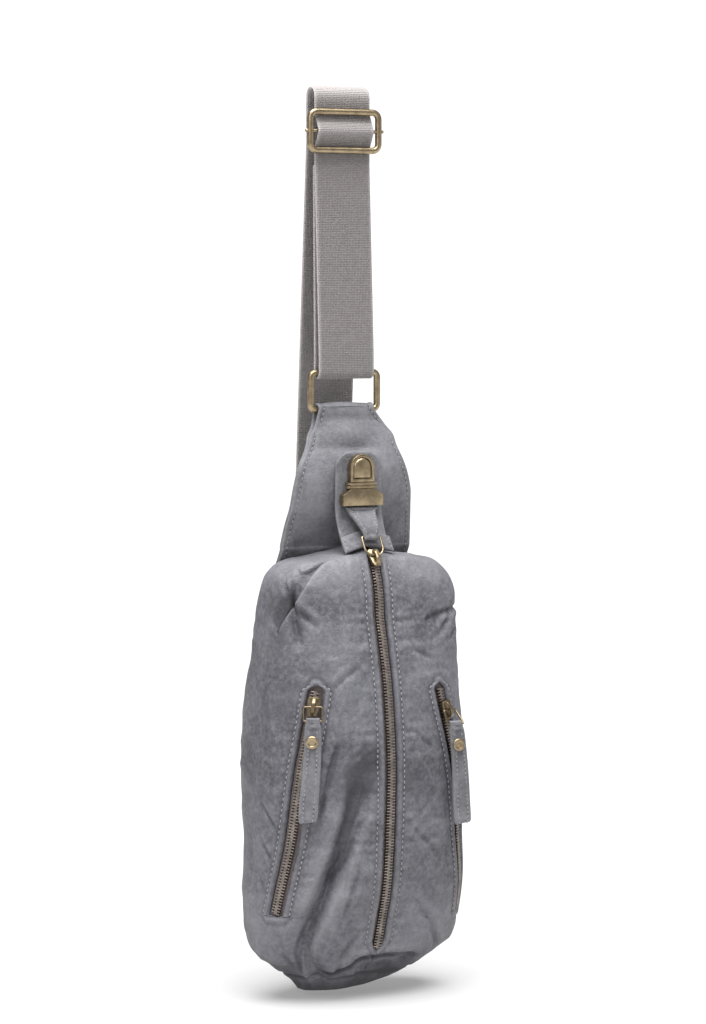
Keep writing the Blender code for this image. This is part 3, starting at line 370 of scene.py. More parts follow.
def distance_to_line(angles, down, line):
    """Distances on the unrolled body from a line, and the share along it."""
    behind = max(line[0], line[2]) > 100
    turned = np.asarray(angles) % (2 * math.pi) if behind else wrapped(angles)
    start = unrolled_point(line[0], line[1])
    here = unrolled(turned, down)
    run = unrolled_point(line[2], line[3]) - start
    along = ((here - start) @ run) / (run @ run)
    held = np.clip(along, 0.0, 1.0)
    nearest = start + held[..., None] * run
    return np.linalg.norm(here - nearest, axis=-1), along


def fold_depth(angles, down):
    total = np.zeros(np.shape(angles))
    for fold in FOLDS:
        distance, _ = distance_to_line(angles, down, fold)
        total += fold[5] * BODY_DEPTH * bell(distance, fold[4] * BODY_WIDTH)
    return total


def smooth_row(angles, down):
    s = read_section(down)
    angles = np.asarray(angles, float)
    sine, cosine = np.sin(angles), np.cos(angles)
    middle = BODY_MID + s["mid"] * BODY_DEPTH
    front = BODY_MID - s["front"] * BODY_DEPTH
    back = BODY_MID + s["back"] * BODY_DEPTH
    square = np.where(cosine >= 0, s["front_square"], s["back_square"])
    reach = np.where(cosine >= 0, front, back)
    bulge = np.sign(sine) * np.abs(sine) ** (2 / square)
    x = (s["shift"] + s["wide"] * bulge) * BODY_WIDTH / 2
    y = middle + (reach - middle) * np.abs(cosine) ** (2 / square)
    z = np.full(angles.shape, BODY_TOP - down * BODY_HEIGHT)
    return np.stack((x, y, z), -1)


def row_normals(angles, down):
    angles = np.asarray(angles, float)
    up, low = max(down - 0.004, 0.0), min(down + 0.004, TABLE[-1]["down"])
    around = smooth_row(angles + 0.02, down) - smooth_row(angles - 0.02, down)
    downward = smooth_row(angles, low) - smooth_row(angles, up)
    normal = np.cross(downward, around)
    return normal / np.linalg.norm(normal, axis=-1, keepdims=True)


def angle_step(angle, down, length):
    """The angle that a length round the body takes up at a place."""
    ends = smooth_row(np.array((angle + 0.01, angle - 0.01)), down)
    return length * 0.02 / np.linalg.norm(ends[0] - ends[1])


def front_angle(down, distance):
    s = read_section(down)
    share = min(0.98, abs(distance) / (s["wide"] * BODY_WIDTH / 2))
    return math.copysign(math.asin(share ** (s["front_square"] / 2)), distance)


def main_slot_half(down):
    opening = min(1.0, max(0.0, (down - MAIN_ZIP_TOP) / (0.3 * MAIN_ZIP_TOP)))
    closing = math.sqrt(min(1.0, max(0.0, (MAIN_ZIP_FOOT - down) / 0.020)))
    seam = ROOF_SEAM if down < MAIN_ZIP_FOOT / 2 else GAP
    return seam / 2 + (MAIN_SLOT - seam) / 2 * min(opening, closing)


def pocket_angle(down, side):
    """The angle of a pocket zip at a height, without its sign."""
    (top_angle, top), (foot_angle, foot) = POCKET_TOP[side], POCKET_FOOT[side]
    return math.radians(top_angle + (foot_angle - top_angle) * (down - top) / (foot - top))


def pocket_half(down, side):
    """Half the opening of a pocket zip: round at its top, square at its foot."""
    from_top = (down - POCKET_TOP[side][1]) * BODY_HEIGHT
    if from_top <= 0 or down >= POCKET_FOOT[side][1]:
        return 0.0
    half = POCKET_SLOT / 2
    return half * math.sqrt(max(0.0, 1 - max(0.0, 1 - from_top / half) ** 2))


def zip_distances(angles, down):
    """How far each place of a row is outside the lips of the main zip and of the nearer pocket zip."""
    points = smooth_row(angles, down)
    main = np.abs(points[:, 0] - read_section(down)["shift"] * BODY_WIDTH / 2)
    behind = np.cos(angles) < 0
    main = np.where(behind, 0.2, main - main_slot_half(down))
    above = max(0.0, MAIN_ZIP_TOP - down) * BODY_HEIGHT
    below = max(0.0, down - MAIN_ZIP_FOOT) * BODY_HEIGHT
    main = np.hypot(np.maximum(main, 0.0), above + below)
    turned = wrapped(angles)
    pockets = []
    for side in (-1, 1):
        held = min(max(down, POCKET_TOP[side][1]), POCKET_FOOT[side][1])
        line = side * pocket_angle(held, side)
        per_metre = angle_step(line, held, 1.0)
        half = pocket_half(down, side) if held == down else POCKET_SLOT / 2 * (down > held)
        across = np.abs(turned - line) / per_metre - half
        pockets.append(np.hypot(np.maximum(across, 0.0), abs(down - held) * BODY_HEIGHT))
    return main, np.minimum(*pockets)


def line_relief(angles, down):
    """The raised and sunk lines, each soft on one side and crisp on the other."""
    here = unrolled(wrapped(angles), down)
    shape = np.shape(angles)
    total = np.zeros(shape)
    for height, left, right, places in LINES:
        lows = [d for _, d in places]
        if not min(lows) - 0.08 < down < max(lows) + 0.08:
            continue
        turns = np.array([unrolled_point(*place) for place in places])
        spots = catmull(turns, np.linspace(0, len(places) - 1, 3 * len(places)))
        nearest = np.full(shape, 1.0)
        signed, share = np.zeros(shape), np.zeros(shape)
        for k in range(len(spots) - 1):
            run = spots[k + 1] - spots[k]
            away = here - spots[k]
            along = np.clip((away @ run) / (run @ run), 0.0, 1.0)
            distance = np.linalg.norm(away - along[:, None] * run, axis=-1)
            side = np.sign(run[0] * away[:, 1] - run[1] * away[:, 0])
            closer = distance < nearest
            nearest = np.where(closer, distance, nearest)
            signed = np.where(closer, side * distance, signed)
            share = np.where(closer, (k + along) / (len(spots) - 1), share)
        fade = smooth_step(share / 0.16) * smooth_step((1 - share) / 0.16)
        total += height * fade * bell(signed, np.where(signed > 0, left, right))
    return total


def crease_relief(angles, down):
    total = np.zeros(np.shape(angles))
    for crease in CREASES:
        distance, along = distance_to_line(angles, down, crease)
        fade = np.clip(1 - np.abs(along - 0.5) * 2 + 0.35, 0.0, 1.0)
        ratio = distance / crease[4]
        hollow = bell(ratio, 1.0)
        shoulder = np.exp(-((ratio - 2.1) ** 2) / 1.3)
        total += crease[5] * fade * (0.45 * shoulder - hollow)
    return total


def crumple_relief(points, height):
    """Soft uneven leather: broad dents, pinched wrinkles and small ripples."""
    values = np.empty(len(points))
    for i, (x, y, z) in enumerate(points):
        p = Vector((x, y, z))
        broad = noise.noise(p * 26.0)
        warp = Vector((noise.noise(p * 34.0 + Vector((3, 1, 7))), noise.noise(p * 34.0), broad)) * 0.55
        pinched = 1 - abs(noise.noise(Vector((x * 62, y * 62, z * 44)) + warp)) * 3.4
        small = noise.noise(p * 150.0)
        values[i] = 0.75 * broad + 0.34 * max(pinched, -0.2) + 0.10 * small
    return values * height


def lip_relief(distance):
    """The turned edge of the leather along a zip: a soft roll, and the groove that its stitches pull in."""
    roll = 0.0007 * bell(distance - 0.0022, 0.0014)
    edge = 0.0011 * bell(distance, 0.0009)
    groove = 0.00055 * bell(distance - ZIP_STITCH_INSET, 0.0011)
    return roll - edge - groove


def pucker(points, distance):
    """Ripples that the zip's stitching gathers, strongest just beside it."""
    waves = np.sin(points[:, 2] * 520 + 4 * np.sin(points[:, 2] * 90)) * np.sin(points[:, 2] * 171 + 1.0)
    fall = smooth_step((distance - 0.004) / 0.006) * np.exp(-np.maximum(distance - 0.008, 0.0) / 0.009)
    return 0.00065 * waves * fall


def leather_row(angles, down, raised=0.0, crumple=0.0016):
    """Places on the finished leather along one height, their normals and their relief."""
    angles = np.asarray(angles, float)
    base = smooth_row(angles, down)
    normal = row_normals(angles, down)
    main, pocket = zip_distances(angles, down)
    near = np.minimum(main, pocket)
    calm = smooth_step((near - 0.003) / 0.010)
    top_calm = smooth_step(down / 0.03)
    lines = line_relief(angles, down) * smooth_step((near - 0.001) / 0.006)
    relief = (crease_relief(angles, down) + crumple_relief(base, crumple)) * calm * top_calm + lines
    relief += pucker(base, main) + 0.7 * pucker(base + 0.02, pocket)
    relief += lip_relief(main) * smooth_step((down - 0.02) / 0.02) + lip_relief(pocket)
    seam = (np.abs(wrapped(angles)) - SIDE_SEAM) * BODY_WIDTH / 2
    relief -= 0.0012 * bell(seam, 0.0016)
    foot = (down - BASE_SEAM) * BODY_HEIGHT * 1.6
    relief -= 0.0011 * bell(foot, 0.0018)
    height = raised + relief - fold_depth(angles, down)
    return base + normal * height[:, None], normal, relief


def on_leather(angle, down, raised=0.0):
    points, normals, _ = leather_row(np.array([angle]), down, raised)
    return Vector(points[0]), Vector(normals[0])


def on_body(angle, down, raised=0.0):
    """A place above or below the folded body, without its fine relief."""
    angles = np.array([angle])
    lift = (raised - fold_depth(angles, down))[:, None]
    return Vector((smooth_row(angles, down) + row_normals(angles, down) * lift)[0])


# Mesh helpers

def grid_faces(rows, columns):
    r, c = np.meshgrid(np.arange(rows - 1), np.arange(columns - 1), indexing="ij")
    a = (r * columns + c).ravel()
    return np.stack((a, a + 1, a + columns + 1, a + columns), -1)


def finish(made, material, slot, *nodes, body="bag"):
    """Gives a piece its material and its body, and hides the CAD nodes that it stands for."""
    made.data.materials.clear()
    made.data.materials.append(material)
    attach(made, body)
    if nodes:
        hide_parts(*nodes)
    return made


def link_object(name, data):
    made = bpy.data.objects.new(name, data)
    bpy.context.scene.collection.objects.link(made)
    return made


def clean_mesh(mesh, merge=0.0, outward=True):
    """Joins points that lie together and turns the faces outward."""
    bm = bmesh.new()
    bm.from_mesh(mesh)
    if merge:
        bmesh.ops.remove_doubles(bm, verts=bm.verts, dist=merge)
    if outward:
        bmesh.ops.recalc_face_normals(bm, faces=bm.faces)
    bm.to_mesh(mesh)
    bm.free()


def object_from(name, points, faces, sharp=None, merge=0.0, outward=True):
    mesh = bpy.data.meshes.new(name)
    mesh.from_pydata(np.asarray(points).tolist(), [], [tuple(int(i) for i in f) for f in faces])
    if merge or outward:
        clean_mesh(mesh, merge, outward)
    mesh.validate()
    mesh.shade_smooth()
    if sharp:
        mesh.set_sharp_from_angle(angle=math.radians(sharp))
    return link_object(name, mesh)


def set_wear_and_shading(mesh, values):
    """Stores per point how much lighter (above 0) or darker (below 0) the colour is: scuffing on edges and
    ridges, painted light where surfaces face the light, and painted shade in creases, sunk lines, turned-in
    rims and at the foot.
    """
    layer = mesh.attributes.new("wear_and_shading", "FLOAT", "POINT")
    layer.data.foreach_set("value", np.asarray(values, np.float32))


def catmull(values, at):
    """Values read from a smooth curve through the first axis of an array, at fractional places."""
    last = len(values) - 1
    i = np.clip(np.floor(at).astype(int), 0, last - 1)
    t = (at - i).reshape((-1,) + (1,) * (values.ndim - 1))
    padded = np.concatenate((values[:1] * 2 - values[1:2], values, values[-1:] * 2 - values[-2:-1]))
    a, b, c, d = (padded[i + k] for k in range(4))
    return 0.5 * (2 * b + (c - a) * t + (2 * a - 5 * b + 4 * c - d) * t**2 + (3 * b - a - 3 * c + d) * t**3)


def refine(grid, rows, shares):
    """A finer grid of points through a coarse one: rows evenly, columns at shares of the width."""
    grid = np.asarray(grid, float)
    finer = catmull(grid, np.linspace(0, len(grid) - 1, rows))
    across = np.swapaxes(finer, 0, 1)
    return np.swapaxes(catmull(across, np.asarray(shares) * (grid.shape[1] - 1)), 0, 1)


def edge_shares(width, thickness, inside):
    """Column places, close together near both edges so that the rims are round."""
    rim = [0.0, 0.12, 0.45, 1.0]
    near = [r * thickness / 2 / width for r in rim]
    middle = spaced(near[-1], 1 - near[-1], inside)
    return near[:-1] + middle + [1 - n for n in near[:-1]][::-1]


def grid_normals(grid):
    along = np.gradient(grid, axis=0)
    across = np.gradient(grid, axis=1)
    normal = np.cross(across, along)
    return normal / np.maximum(np.linalg.norm(normal, axis=-1, keepdims=True), 1e-12)


def sheet(name, grid, thickness, relief=None, lightened=0.0):
    """A closed sheet round a grid of mid-surface points: rounded rims, a UV map in metres, lighter edges from
    scuffing, and any painted light passed in per point.
    """
    rows, columns = grid.shape[:2]
    normal = grid_normals(grid)
    step = np.linalg.norm(np.diff(grid, axis=1), axis=-1)
    across = np.concatenate((np.zeros((rows, 1)), np.cumsum(step, axis=1)), axis=1)
    run = np.linalg.norm(np.diff(grid, axis=0), axis=-1)
    along = np.concatenate((np.zeros((1, columns)), np.cumsum(run, axis=0)), axis=0)
    side = np.minimum(across, across[:, -1:] - across)
    side = np.minimum(side, np.minimum(along, along[-1:] - along))
    radius = thickness / 2
    full = np.sqrt(np.clip(1 - (1 - np.clip(side / radius, 0, 1)) ** 2, 0, 1))
    raised = np.zeros((rows, columns)) if relief is None else relief(across, along, side)
    outer = grid + normal * ((radius * full) + raised * full)[..., None]
    inner = grid - normal * ((radius * full) - raised * full)[..., None]
    count = rows * columns
    faces = grid_faces(rows, columns)
    points = np.concatenate((outer.reshape(-1, 3), inner.reshape(-1, 3)))
    mesh = bpy.data.meshes.new(name)
    mesh.from_pydata(points.tolist(), [], np.concatenate((faces, faces[:, ::-1] + count)).tolist())
    uv = mesh.uv_layers.new(name="Surface")
    loops = np.empty(len(mesh.loops), int)
    mesh.loops.foreach_get("vertex_index", loops)
    flat = np.stack((across - across[:, -1:] / 2, along), -1).reshape(-1, 2)
    uv.data.foreach_set("uv", flat[loops % count].ravel())
    # Scuffed edges, plus the painted light that the caller passes in.
    wear_and_shading = (bell(side, 0.0013) + lightened).reshape(-1)
    set_wear_and_shading(mesh, np.concatenate((wear_and_shading, wear_and_shading)))
    clean_mesh(mesh, merge=2e-6)
    mesh.shade_smooth()
    return link_object(name, mesh)


def tube_faces(rings, sides, closed=False):
    """Faces between rings of points, as a tube or, closed, as a ring."""
    faces = []
    for r in range(rings if closed else rings - 1):
        after = (r + 1) % rings
        for k in range(sides):
            n = (k + 1) % sides
            faces.append((r * sides + k, r * sides + n, after * sides + n, after * sides + k))
    return faces


def wire(name, points, radius, sides=20):
    """A closed round wire along points that lie in one plane."""
    count = len(points)
    centre = sum(points, Vector()) / count
    plane = (points[0] - centre).cross(points[count // 4] - centre).normalized()
    verts = []
    for i, p in enumerate(points):
        run = (points[(i + 1) % count] - points[i - 1]).normalized()
        side = run.cross(plane).normalized()
        for k in range(sides):
            a = 2 * math.pi * k / sides
            verts.append(tuple(p + side * radius * math.cos(a) + plane * radius * math.sin(a)))
    return object_from(name, verts, tube_faces(count, sides, closed=True))


def lathe(name, profile, frame, sides=40):
    """A turned piece: (radius, height) pairs swept round the frame's Z axis."""
    points = []
    for radius, height in profile:
        for k in range(sides):
            a = 2 * math.pi * k / sides
            points.append(tuple(frame @ Vector((radius * math.cos(a), radius * math.sin(a), height))))
    return object_from(name, points, tube_faces(len(profile), sides), merge=1e-6)


def softened(node, offset):
    """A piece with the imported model's shape and rounded edges."""
    made = link_object(node + "_brass", NODES[node].data.copy())
    made.data.transform(NODES[node].matrix_world)
    bm = bmesh.new()
    bm.from_mesh(made.data)
    bmesh.ops.remove_doubles(bm, verts=bm.verts, dist=1e-6)
    bmesh.ops.dissolve_limit(bm, angle_limit=math.radians(1), verts=bm.verts, edges=bm.edges)
    edges = [e for e in bm.edges if len(e.link_faces) == 2 and e.calc_face_angle() > math.radians(28)]
    bmesh.ops.bevel(
        bm, geom=edges, offset=offset, segments=3, profile=0.5, affect="EDGES", clamp_overlap=True)
    bmesh.ops.recalc_face_normals(bm, faces=bm.faces)
    bm.to_mesh(made.data)
    bm.free()
    made.data.shade_smooth()
    made.data.set_sharp_from_angle(angle=math.radians(35))
    return made


def rounded_loop(width, height, corner, per_corner=9, top_corner=None):
    """A rectangle with rounded corners, as (across, up) points round its middle."""
    points = []
    for k, (sx, sz) in enumerate(((1, 1), (-1, 1), (-1, -1), (1, -1))):
        r = top_corner if top_corner and sz > 0 else corner
        cx, cz = sx * (width / 2 - r), sz * (height / 2 - r)
        for t in spaced(90 * k, 90 * k + 90, per_corner):
            a = math.radians(t)
            points.append((cx + r * math.cos(a), cz + r * math.sin(a)))
    return points


def local_frame(origin, up, outward):
    """A frame with X to the right, Y upward and Z outward."""
    outward = outward.normalized()
    right = up.cross(outward).normalized()
    up = outward.cross(right)
    return Matrix((
        (right.x, up.x, outward.x, origin.x),
        (right.y, up.y, outward.y, origin.y),
        (right.z, up.z, outward.z, origin.z),
        (0, 0, 0, 1),
    ))


def start_piece():
    if bpy.context.object and bpy.context.object.mode != "OBJECT":
        bpy.ops.object.mode_set(mode="OBJECT")
    bpy.ops.object.select_all(action="DESELECT")


def copies(name, pattern, frames):
    """One mesh made of a copy of the pattern object at each frame. The pattern is removed."""
    source = pattern.data
    points = np.empty(len(source.vertices) * 3)
    source.vertices.foreach_get("co", points)
    points = points.reshape(-1, 3)
    faces = [tuple(p.vertices) for p in source.polygons]
    all_points, all_faces = [], []
    for k, at in enumerate(frames):
        turn = np.array(at.to_3x3())
        all_points.append(points @ turn.T + np.array(at.translation))
        all_faces += [tuple(i + k * len(points) for i in f) for f in faces]
    bpy.data.objects.remove(pattern)
    return object_from(name, np.concatenate(all_points), all_faces, sharp=40, outward=False)


def stitch_pattern(length, radius):
    """One stitch: a short plump thread that dips into the leather at both ends, along local Y."""
    start_piece()
    bpy.ops.mesh.primitive_uv_sphere_add(segments=8, ring_count=6, radius=1.0)
    made = bpy.context.object
    bpy.ops.object.mode_set(mode="EDIT")
    bpy.ops.mesh.select_all(action="SELECT")
    bpy.ops.transform.resize(value=(radius, radius * 0.8, length / 2))
    bpy.ops.transform.rotate(value=math.pi / 2, orient_axis="X", center_override=(0, 0, 0))
    bpy.ops.object.mode_set(mode="OBJECT")
    return made


def reach_along(points):
    """How far each point of a line lies from its start."""
    steps = np.linalg.norm(np.diff(points, axis=0), axis=-1)
    return np.concatenate(([0.0], np.cumsum(steps)))


def read_line(at, reach, values):
    """The values of a line's points, read at a distance from its start."""
    return Vector([np.interp(at, reach, column) for column in values.T])


def stitch_frames(places, pitch):
    """Frames at even steps along a line of (point, normal) pairs."""
    points = np.array([tuple(p) for p, _ in places])
    normals = np.array([tuple(n) for _, n in places])
    reach = reach_along(points)
    count = max(1, int(reach[-1] / pitch))
    frames = []
    for k in range(count):
        here = (k + 0.5) * reach[-1] / count
        before, after = (read_line(s, reach, points) for s in (here - 0.0008, here + 0.0008))
        frames.append(local_frame((before + after) / 2, after - before, read_line(here, reach, normals)))
    return frames


def on_sheet(grid, row_share, column_share, lift):
    """Place and normal on the front of a sheet, at shares of its rows and columns."""
    rows, columns = grid.shape[:2]
    r = min(max(row_share * (rows - 1), 0.0), rows - 1.001)
    c = min(max(column_share * (columns - 1), 0.0), columns - 1.001)
    i, j = int(r), int(c)
    s, t = r - i, c - j
    a, b, d, e = (Vector(grid[i + p, j + q]) for p, q in ((0, 0), (0, 1), (1, 0), (1, 1)))
    point = a * (1 - s) * (1 - t) + b * (1 - s) * t + d * s * (1 - t) + e * s * t
    normal = (b - a).cross(d - a).normalized()
    if normal.y >= 0:
        normal = -normal
    return point + normal * lift, normal


# Node helpers

def add_node(tree, kind, inputs=None, **settings):
    """Adds a node; an input given as a socket is linked, anything else is set."""
    made = tree.nodes.new(kind)
    for key, value in settings.items():
        setattr(made, key, value)
    for key, value in (inputs or {}).items():
        socket = made.inputs[key]
        if isinstance(value, bpy.types.NodeSocket):
            tree.links.new(value, socket)
        else:
            socket.default_value = value
    return made


def colour_mix(tree, factor, a, b, blend="MIX"):
    made = add_node(tree, "ShaderNodeMix", data_type="RGBA", blend_type=blend)
    for index, value in ((0, factor), (6, a), (7, b)):
        if isinstance(value, bpy.types.NodeSocket):
            tree.links.new(value, made.inputs[index])
        else:
            made.inputs[index].default_value = value if index == 0 else (*value, 1.0)[:4]
    return made.outputs[2]


def math_node(tree, operation, *values, clamp=False):
    made = add_node(tree, "ShaderNodeMath", operation=operation, use_clamp=clamp)
    for index, value in enumerate(values):
        if isinstance(value, bpy.types.NodeSocket):
            tree.links.new(value, made.inputs[index])
        else:
            made.inputs[index].default_value = value
    return made.outputs[0]


def times(tree, *values, clamp=False):
    return math_node(tree, "MULTIPLY", *values, clamp=clamp)


def plus(tree, *values):
    return math_node(tree, "ADD", *values)


def toned(colour, share, rise=0.0):
    """A colour made darker, or lighter with a share above 1."""
    return tuple(min(1.0, c * share + rise) for c in colour)


def noise_node(tree, vector, scale, detail, **more):
    """Cloudy noise between 0 and 1."""
    inputs = {"Vector": vector, "Scale": scale, "Detail": detail, **more}
    return add_node(tree, "ShaderNodeTexNoise", inputs).outputs[0]


def object_place(tree):
    return add_node(tree, "ShaderNodeTexCoord").outputs["Object"]


def wear_and_shading_value(tree):
    # The per-point attribute: scuffing with painted light above 0, painted shade below 0.
    return add_node(tree, "ShaderNodeAttribute", attribute_name="wear_and_shading").outputs["Fac"]


def ramp(tree, factor, low, high):
    """A factor stretched so that low becomes 0 and high becomes 1."""
    made = add_node(tree, "ShaderNodeMapRange", {"Value": factor, "From Min": low, "From Max": high},
                    interpolation_type="SMOOTHSTEP")
    return made.outputs[0]


def new_group(name, inputs, outputs):
    tree = bpy.data.node_groups.new(name, "ShaderNodeTree")
    for label, kind, value in inputs:
        socket = tree.interface.new_socket(name=label, in_out="INPUT", socket_type=kind)
        if value is not None:
            socket.default_value = value
    for label, kind in outputs:
        tree.interface.new_socket(name=label, in_out="OUTPUT", socket_type=kind)
    return tree, tree.nodes.new("NodeGroupInput"), tree.nodes.new("NodeGroupOutput")


def leather_grain_group():
    """Clouds of uneven dye, pores and fine creases of washed leather."""
    if "washed leather" in bpy.data.node_groups:
        return bpy.data.node_groups["washed leather"]
    tree, given, out = new_group(
        "washed leather",
        [("Vector", "NodeSocketVector", None), ("Cloud Scale", "NodeSocketFloat", 22.0),
         ("Grain Scale", "NodeSocketFloat", 900.0)],
        [("Clouds", "NodeSocketFloat"), ("Specks", "NodeSocketFloat"), ("Height", "NodeSocketFloat")],
    )
    vector = given.outputs["Vector"]
    clouds = noise_node(tree, vector, given.outputs["Cloud Scale"], 6.0, Roughness=0.62, Distortion=0.6)
    blotch = noise_node(tree, vector, 330.0, 4.0, Roughness=0.66)
    cells = add_node(tree, "ShaderNodeTexVoronoi", {
        "Vector": vector, "Scale": given.outputs["Grain Scale"]}, feature="SMOOTH_F1")
    lines = noise_node(tree, vector, 120.0, 3.0, Roughness=0.55, Distortion=1.4)
    valley = math_node(tree, "ABSOLUTE", math_node(tree, "SUBTRACT", lines, 0.5))
    crease = ramp(tree, valley, 0.0, 0.045)
    height = plus(tree, times(tree, cells.outputs["Distance"], 0.30), times(tree, crease, 0.45))
    height = plus(tree, height, times(tree, blotch, 0.55))
    tree.links.new(ramp(tree, clouds, 0.32, 0.68), out.inputs["Clouds"])
    tree.links.new(ramp(tree, blotch, 0.35, 0.70), out.inputs["Specks"])
    tree.links.new(height, out.inputs["Height"])
    return tree


def basket_group():
    """A weave read from a flat map in metres: raised baskets, and the yarns within each."""
    if "basket weave" in bpy.data.node_groups:
        return bpy.data.node_groups["basket weave"]
    tree, given, out = new_group(
        "basket weave",
        [("Vector", "NodeSocketVector", None), ("Pitch", "NodeSocketFloat", 0.0024)],
        [("Height", "NodeSocketFloat"), ("Hollow", "NodeSocketFloat"), ("Uneven", "NodeSocketFloat")],
    )
    cell = add_node(tree, "ShaderNodeVectorMath", {0: given.outputs["Vector"]}, operation="SNAP")
    tree.links.new(times(tree, given.outputs["Pitch"], 0.5), cell.inputs[1])
    chance = add_node(tree, "ShaderNodeTexWhiteNoise", {"Vector": cell.outputs[0]}, noise_dimensions="2D")
    tree.links.new(chance.outputs[0], out.inputs["Uneven"])
    parts = add_node(tree, "ShaderNodeSeparateXYZ", {"Vector": given.outputs["Vector"]})
    waves, swells, yarns = [], [], []
    for axis in ("X", "Y"):
        turns = math_node(tree, "DIVIDE", parts.outputs[axis], given.outputs["Pitch"])
        waves.append(math_node(tree, "SINE", times(tree, turns, 2 * math.pi)))
        swells.append(math_node(tree, "POWER", math_node(tree, "ABSOLUTE", waves[-1]), 0.5))
        yarns.append(math_node(tree, "SINE", times(tree, turns, 8 * math.pi)))
    over = ramp(tree, times(tree, *waves), -0.5, 0.5)
    cushion = times(tree, *swells)
    yarn = add_node(tree, "ShaderNodeMix", {0: over, 2: yarns[1], 3: yarns[0]}, data_type="FLOAT").outputs[0]
    height = plus(tree, times(tree, cushion, 0.9), times(tree, yarn, 0.10))
    tree.links.new(plus(tree, height, times(tree, over, 0.15)), out.inputs["Height"])
    tree.links.new(ramp(tree, cushion, 0.15, 0.75), out.inputs["Hollow"])
    return tree


def patina_group():
    """Uneven browning and rubbed spots of antique brass."""
    if "antique patina" in bpy.data.node_groups:
        return bpy.data.node_groups["antique patina"]
    tree, given, out = new_group(
        "antique patina",
        [("Vector", "NodeSocketVector", None), ("Scale", "NodeSocketFloat", 180.0)],
        [("Dark", "NodeSocketFloat"), ("Rough", "NodeSocketFloat"), ("Height", "NodeSocketFloat")],
    )
    spots = noise_node(tree, given.outputs["Vector"], given.outputs["Scale"], 6.0, Roughness=0.65)
    fine = noise_node(tree, given.outputs["Vector"], 1600.0, 2.0)
    tree.links.new(ramp(tree, spots, 0.38, 0.66), out.inputs["Dark"])
    rough = plus(tree, times(tree, spots, 0.28), times(tree, fine, 0.12))
    tree.links.new(plus(tree, rough, 0.16), out.inputs["Rough"])
    tree.links.new(fine, out.inputs["Height"])
    return tree


def use_group(tree, group, inputs):
    made = add_node(tree, "ShaderNodeGroup", node_tree=group)
    for key, value in inputs.items():
        if isinstance(value, bpy.types.NodeSocket):
            tree.links.new(value, made.inputs[key])
        else:
            made.inputs[key].default_value = value
    return made


def new_material(name):
    made = bpy.data.materials.new(name)
    made.use_nodes = True
    tree = made.node_tree
    return made, tree, tree.nodes["Principled BSDF"]


def bump(tree, shader, height, distance, strength=1.0):
    made = add_node(tree, "ShaderNodeBump", {"Height": height, "Distance": distance, "Strength": strength})
    tree.links.new(made.outputs[0], shader.inputs["Normal"])


def leather_material(name, colour, worn_and_lit, edge, depth=0.0004):
    """Washed leather: clouded dye and fine grain; the per-point attribute makes scuffed edges and ridges
    lighter, adds painted light where surfaces face the light, and puts painted shade in creases, turned-in
    rims and at the foot.
    """
    if name in bpy.data.materials:
        return bpy.data.materials[name]
    made, tree, shader = new_material(name)
    grain = use_group(tree, leather_grain_group(), {"Vector": object_place(tree)})
    wear_and_shading = wear_and_shading_value(tree)
    tone = colour_mix(tree, grain.outputs["Clouds"], toned(colour, 0.74), toned(colour, 1.30, 0.004))
    speckled = colour_mix(tree, times(tree, grain.outputs["Specks"], 0.34), tone, worn_and_lit)
    # Lighter towards the scuffed colour: edge and ridge scuffing, and painted light.
    lightened = colour_mix(tree, times(tree, wear_and_shading, edge, clamp=True), speckled, worn_and_lit)
    # Painted shade: darker where the attribute is below 0, in creases, sunk lines, turned-in rims and at the
    # foot.
    with_painted_shade = colour_mix(tree, times(tree, wear_and_shading, -1.1, clamp=True), lightened, toned(colour, 0.38))
    tree.links.new(with_painted_shade, shader.inputs["Base Color"])
    rough = math_node(tree, "SUBTRACT", 0.70, times(tree, grain.outputs["Clouds"], 0.14))
    tree.links.new(rough, shader.inputs["Roughness"])
    shader.inputs["Specular IOR Level"].default_value = 0.42
    bump(tree, shader, grain.outputs["Height"], depth, 0.9)
    return made


def thread_material(name, colour):
    """Twisted sewing thread."""
    if name in bpy.data.materials:
        return bpy.data.materials[name]
    made, tree, shader = new_material(name)
    twist = noise_node(tree, object_place(tree), 1500.0, 2.0)
    tone = colour_mix(tree, twist, toned(colour, 0.6), toned(colour, 1.5))
    tree.links.new(tone, shader.inputs["Base Color"])
    shader.inputs["Roughness"].default_value = 0.75
    bump(tree, shader, twist, 0.0002)
    return made


def webbing_material(name, colour, pitch, depth):
    """Woven cotton: baskets of yarn with painted shade in the hollows between them, paler at scuffed edges
    and where painted highlights are stored per point.
    """
    if name in bpy.data.materials:
        return bpy.data.materials[name]
    made, tree, shader = new_material(name)
    uv = add_node(tree, "ShaderNodeUVMap", uv_map="Surface")
    weave = use_group(tree, basket_group(), {"Vector": uv.outputs[0], "Pitch": pitch})
    place = object_place(tree)
    fibres = noise_node(tree, place, 620.0, 4.0)
    dye = noise_node(tree, place, 30.0, 3.0)
    tone = colour_mix(tree, fibres, toned(colour, 0.72), toned(colour, 1.28))
    paler = colour_mix(tree, times(tree, dye, 0.5), tone, toned(colour, 1.12))
    uneven = colour_mix(tree, weave.outputs["Uneven"], (0.86, 0.855, 0.855), (1.14, 1.13, 1.135))
    threads = colour_mix(tree, 1.0, paler, uneven, "MULTIPLY")
    shaded = colour_mix(tree, weave.outputs["Hollow"], toned(colour, 0.68), threads)
    # Paler at scuffed edges and with the painted highlights stored per point.
    pale = colour_mix(tree, times(tree, wear_and_shading_value(tree), 0.55, clamp=True), shaded, toned(colour, 2.4))
    tree.links.new(pale, shader.inputs["Base Color"])
    shader.inputs["Roughness"].default_value = 0.92
    shader.inputs["Sheen Weight"].default_value = 0.12
    shader.inputs["Sheen Roughness"].default_value = 0.5
    bump(tree, shader, plus(tree, weave.outputs["Height"], times(tree, fibres, 0.2)), depth)
    return made


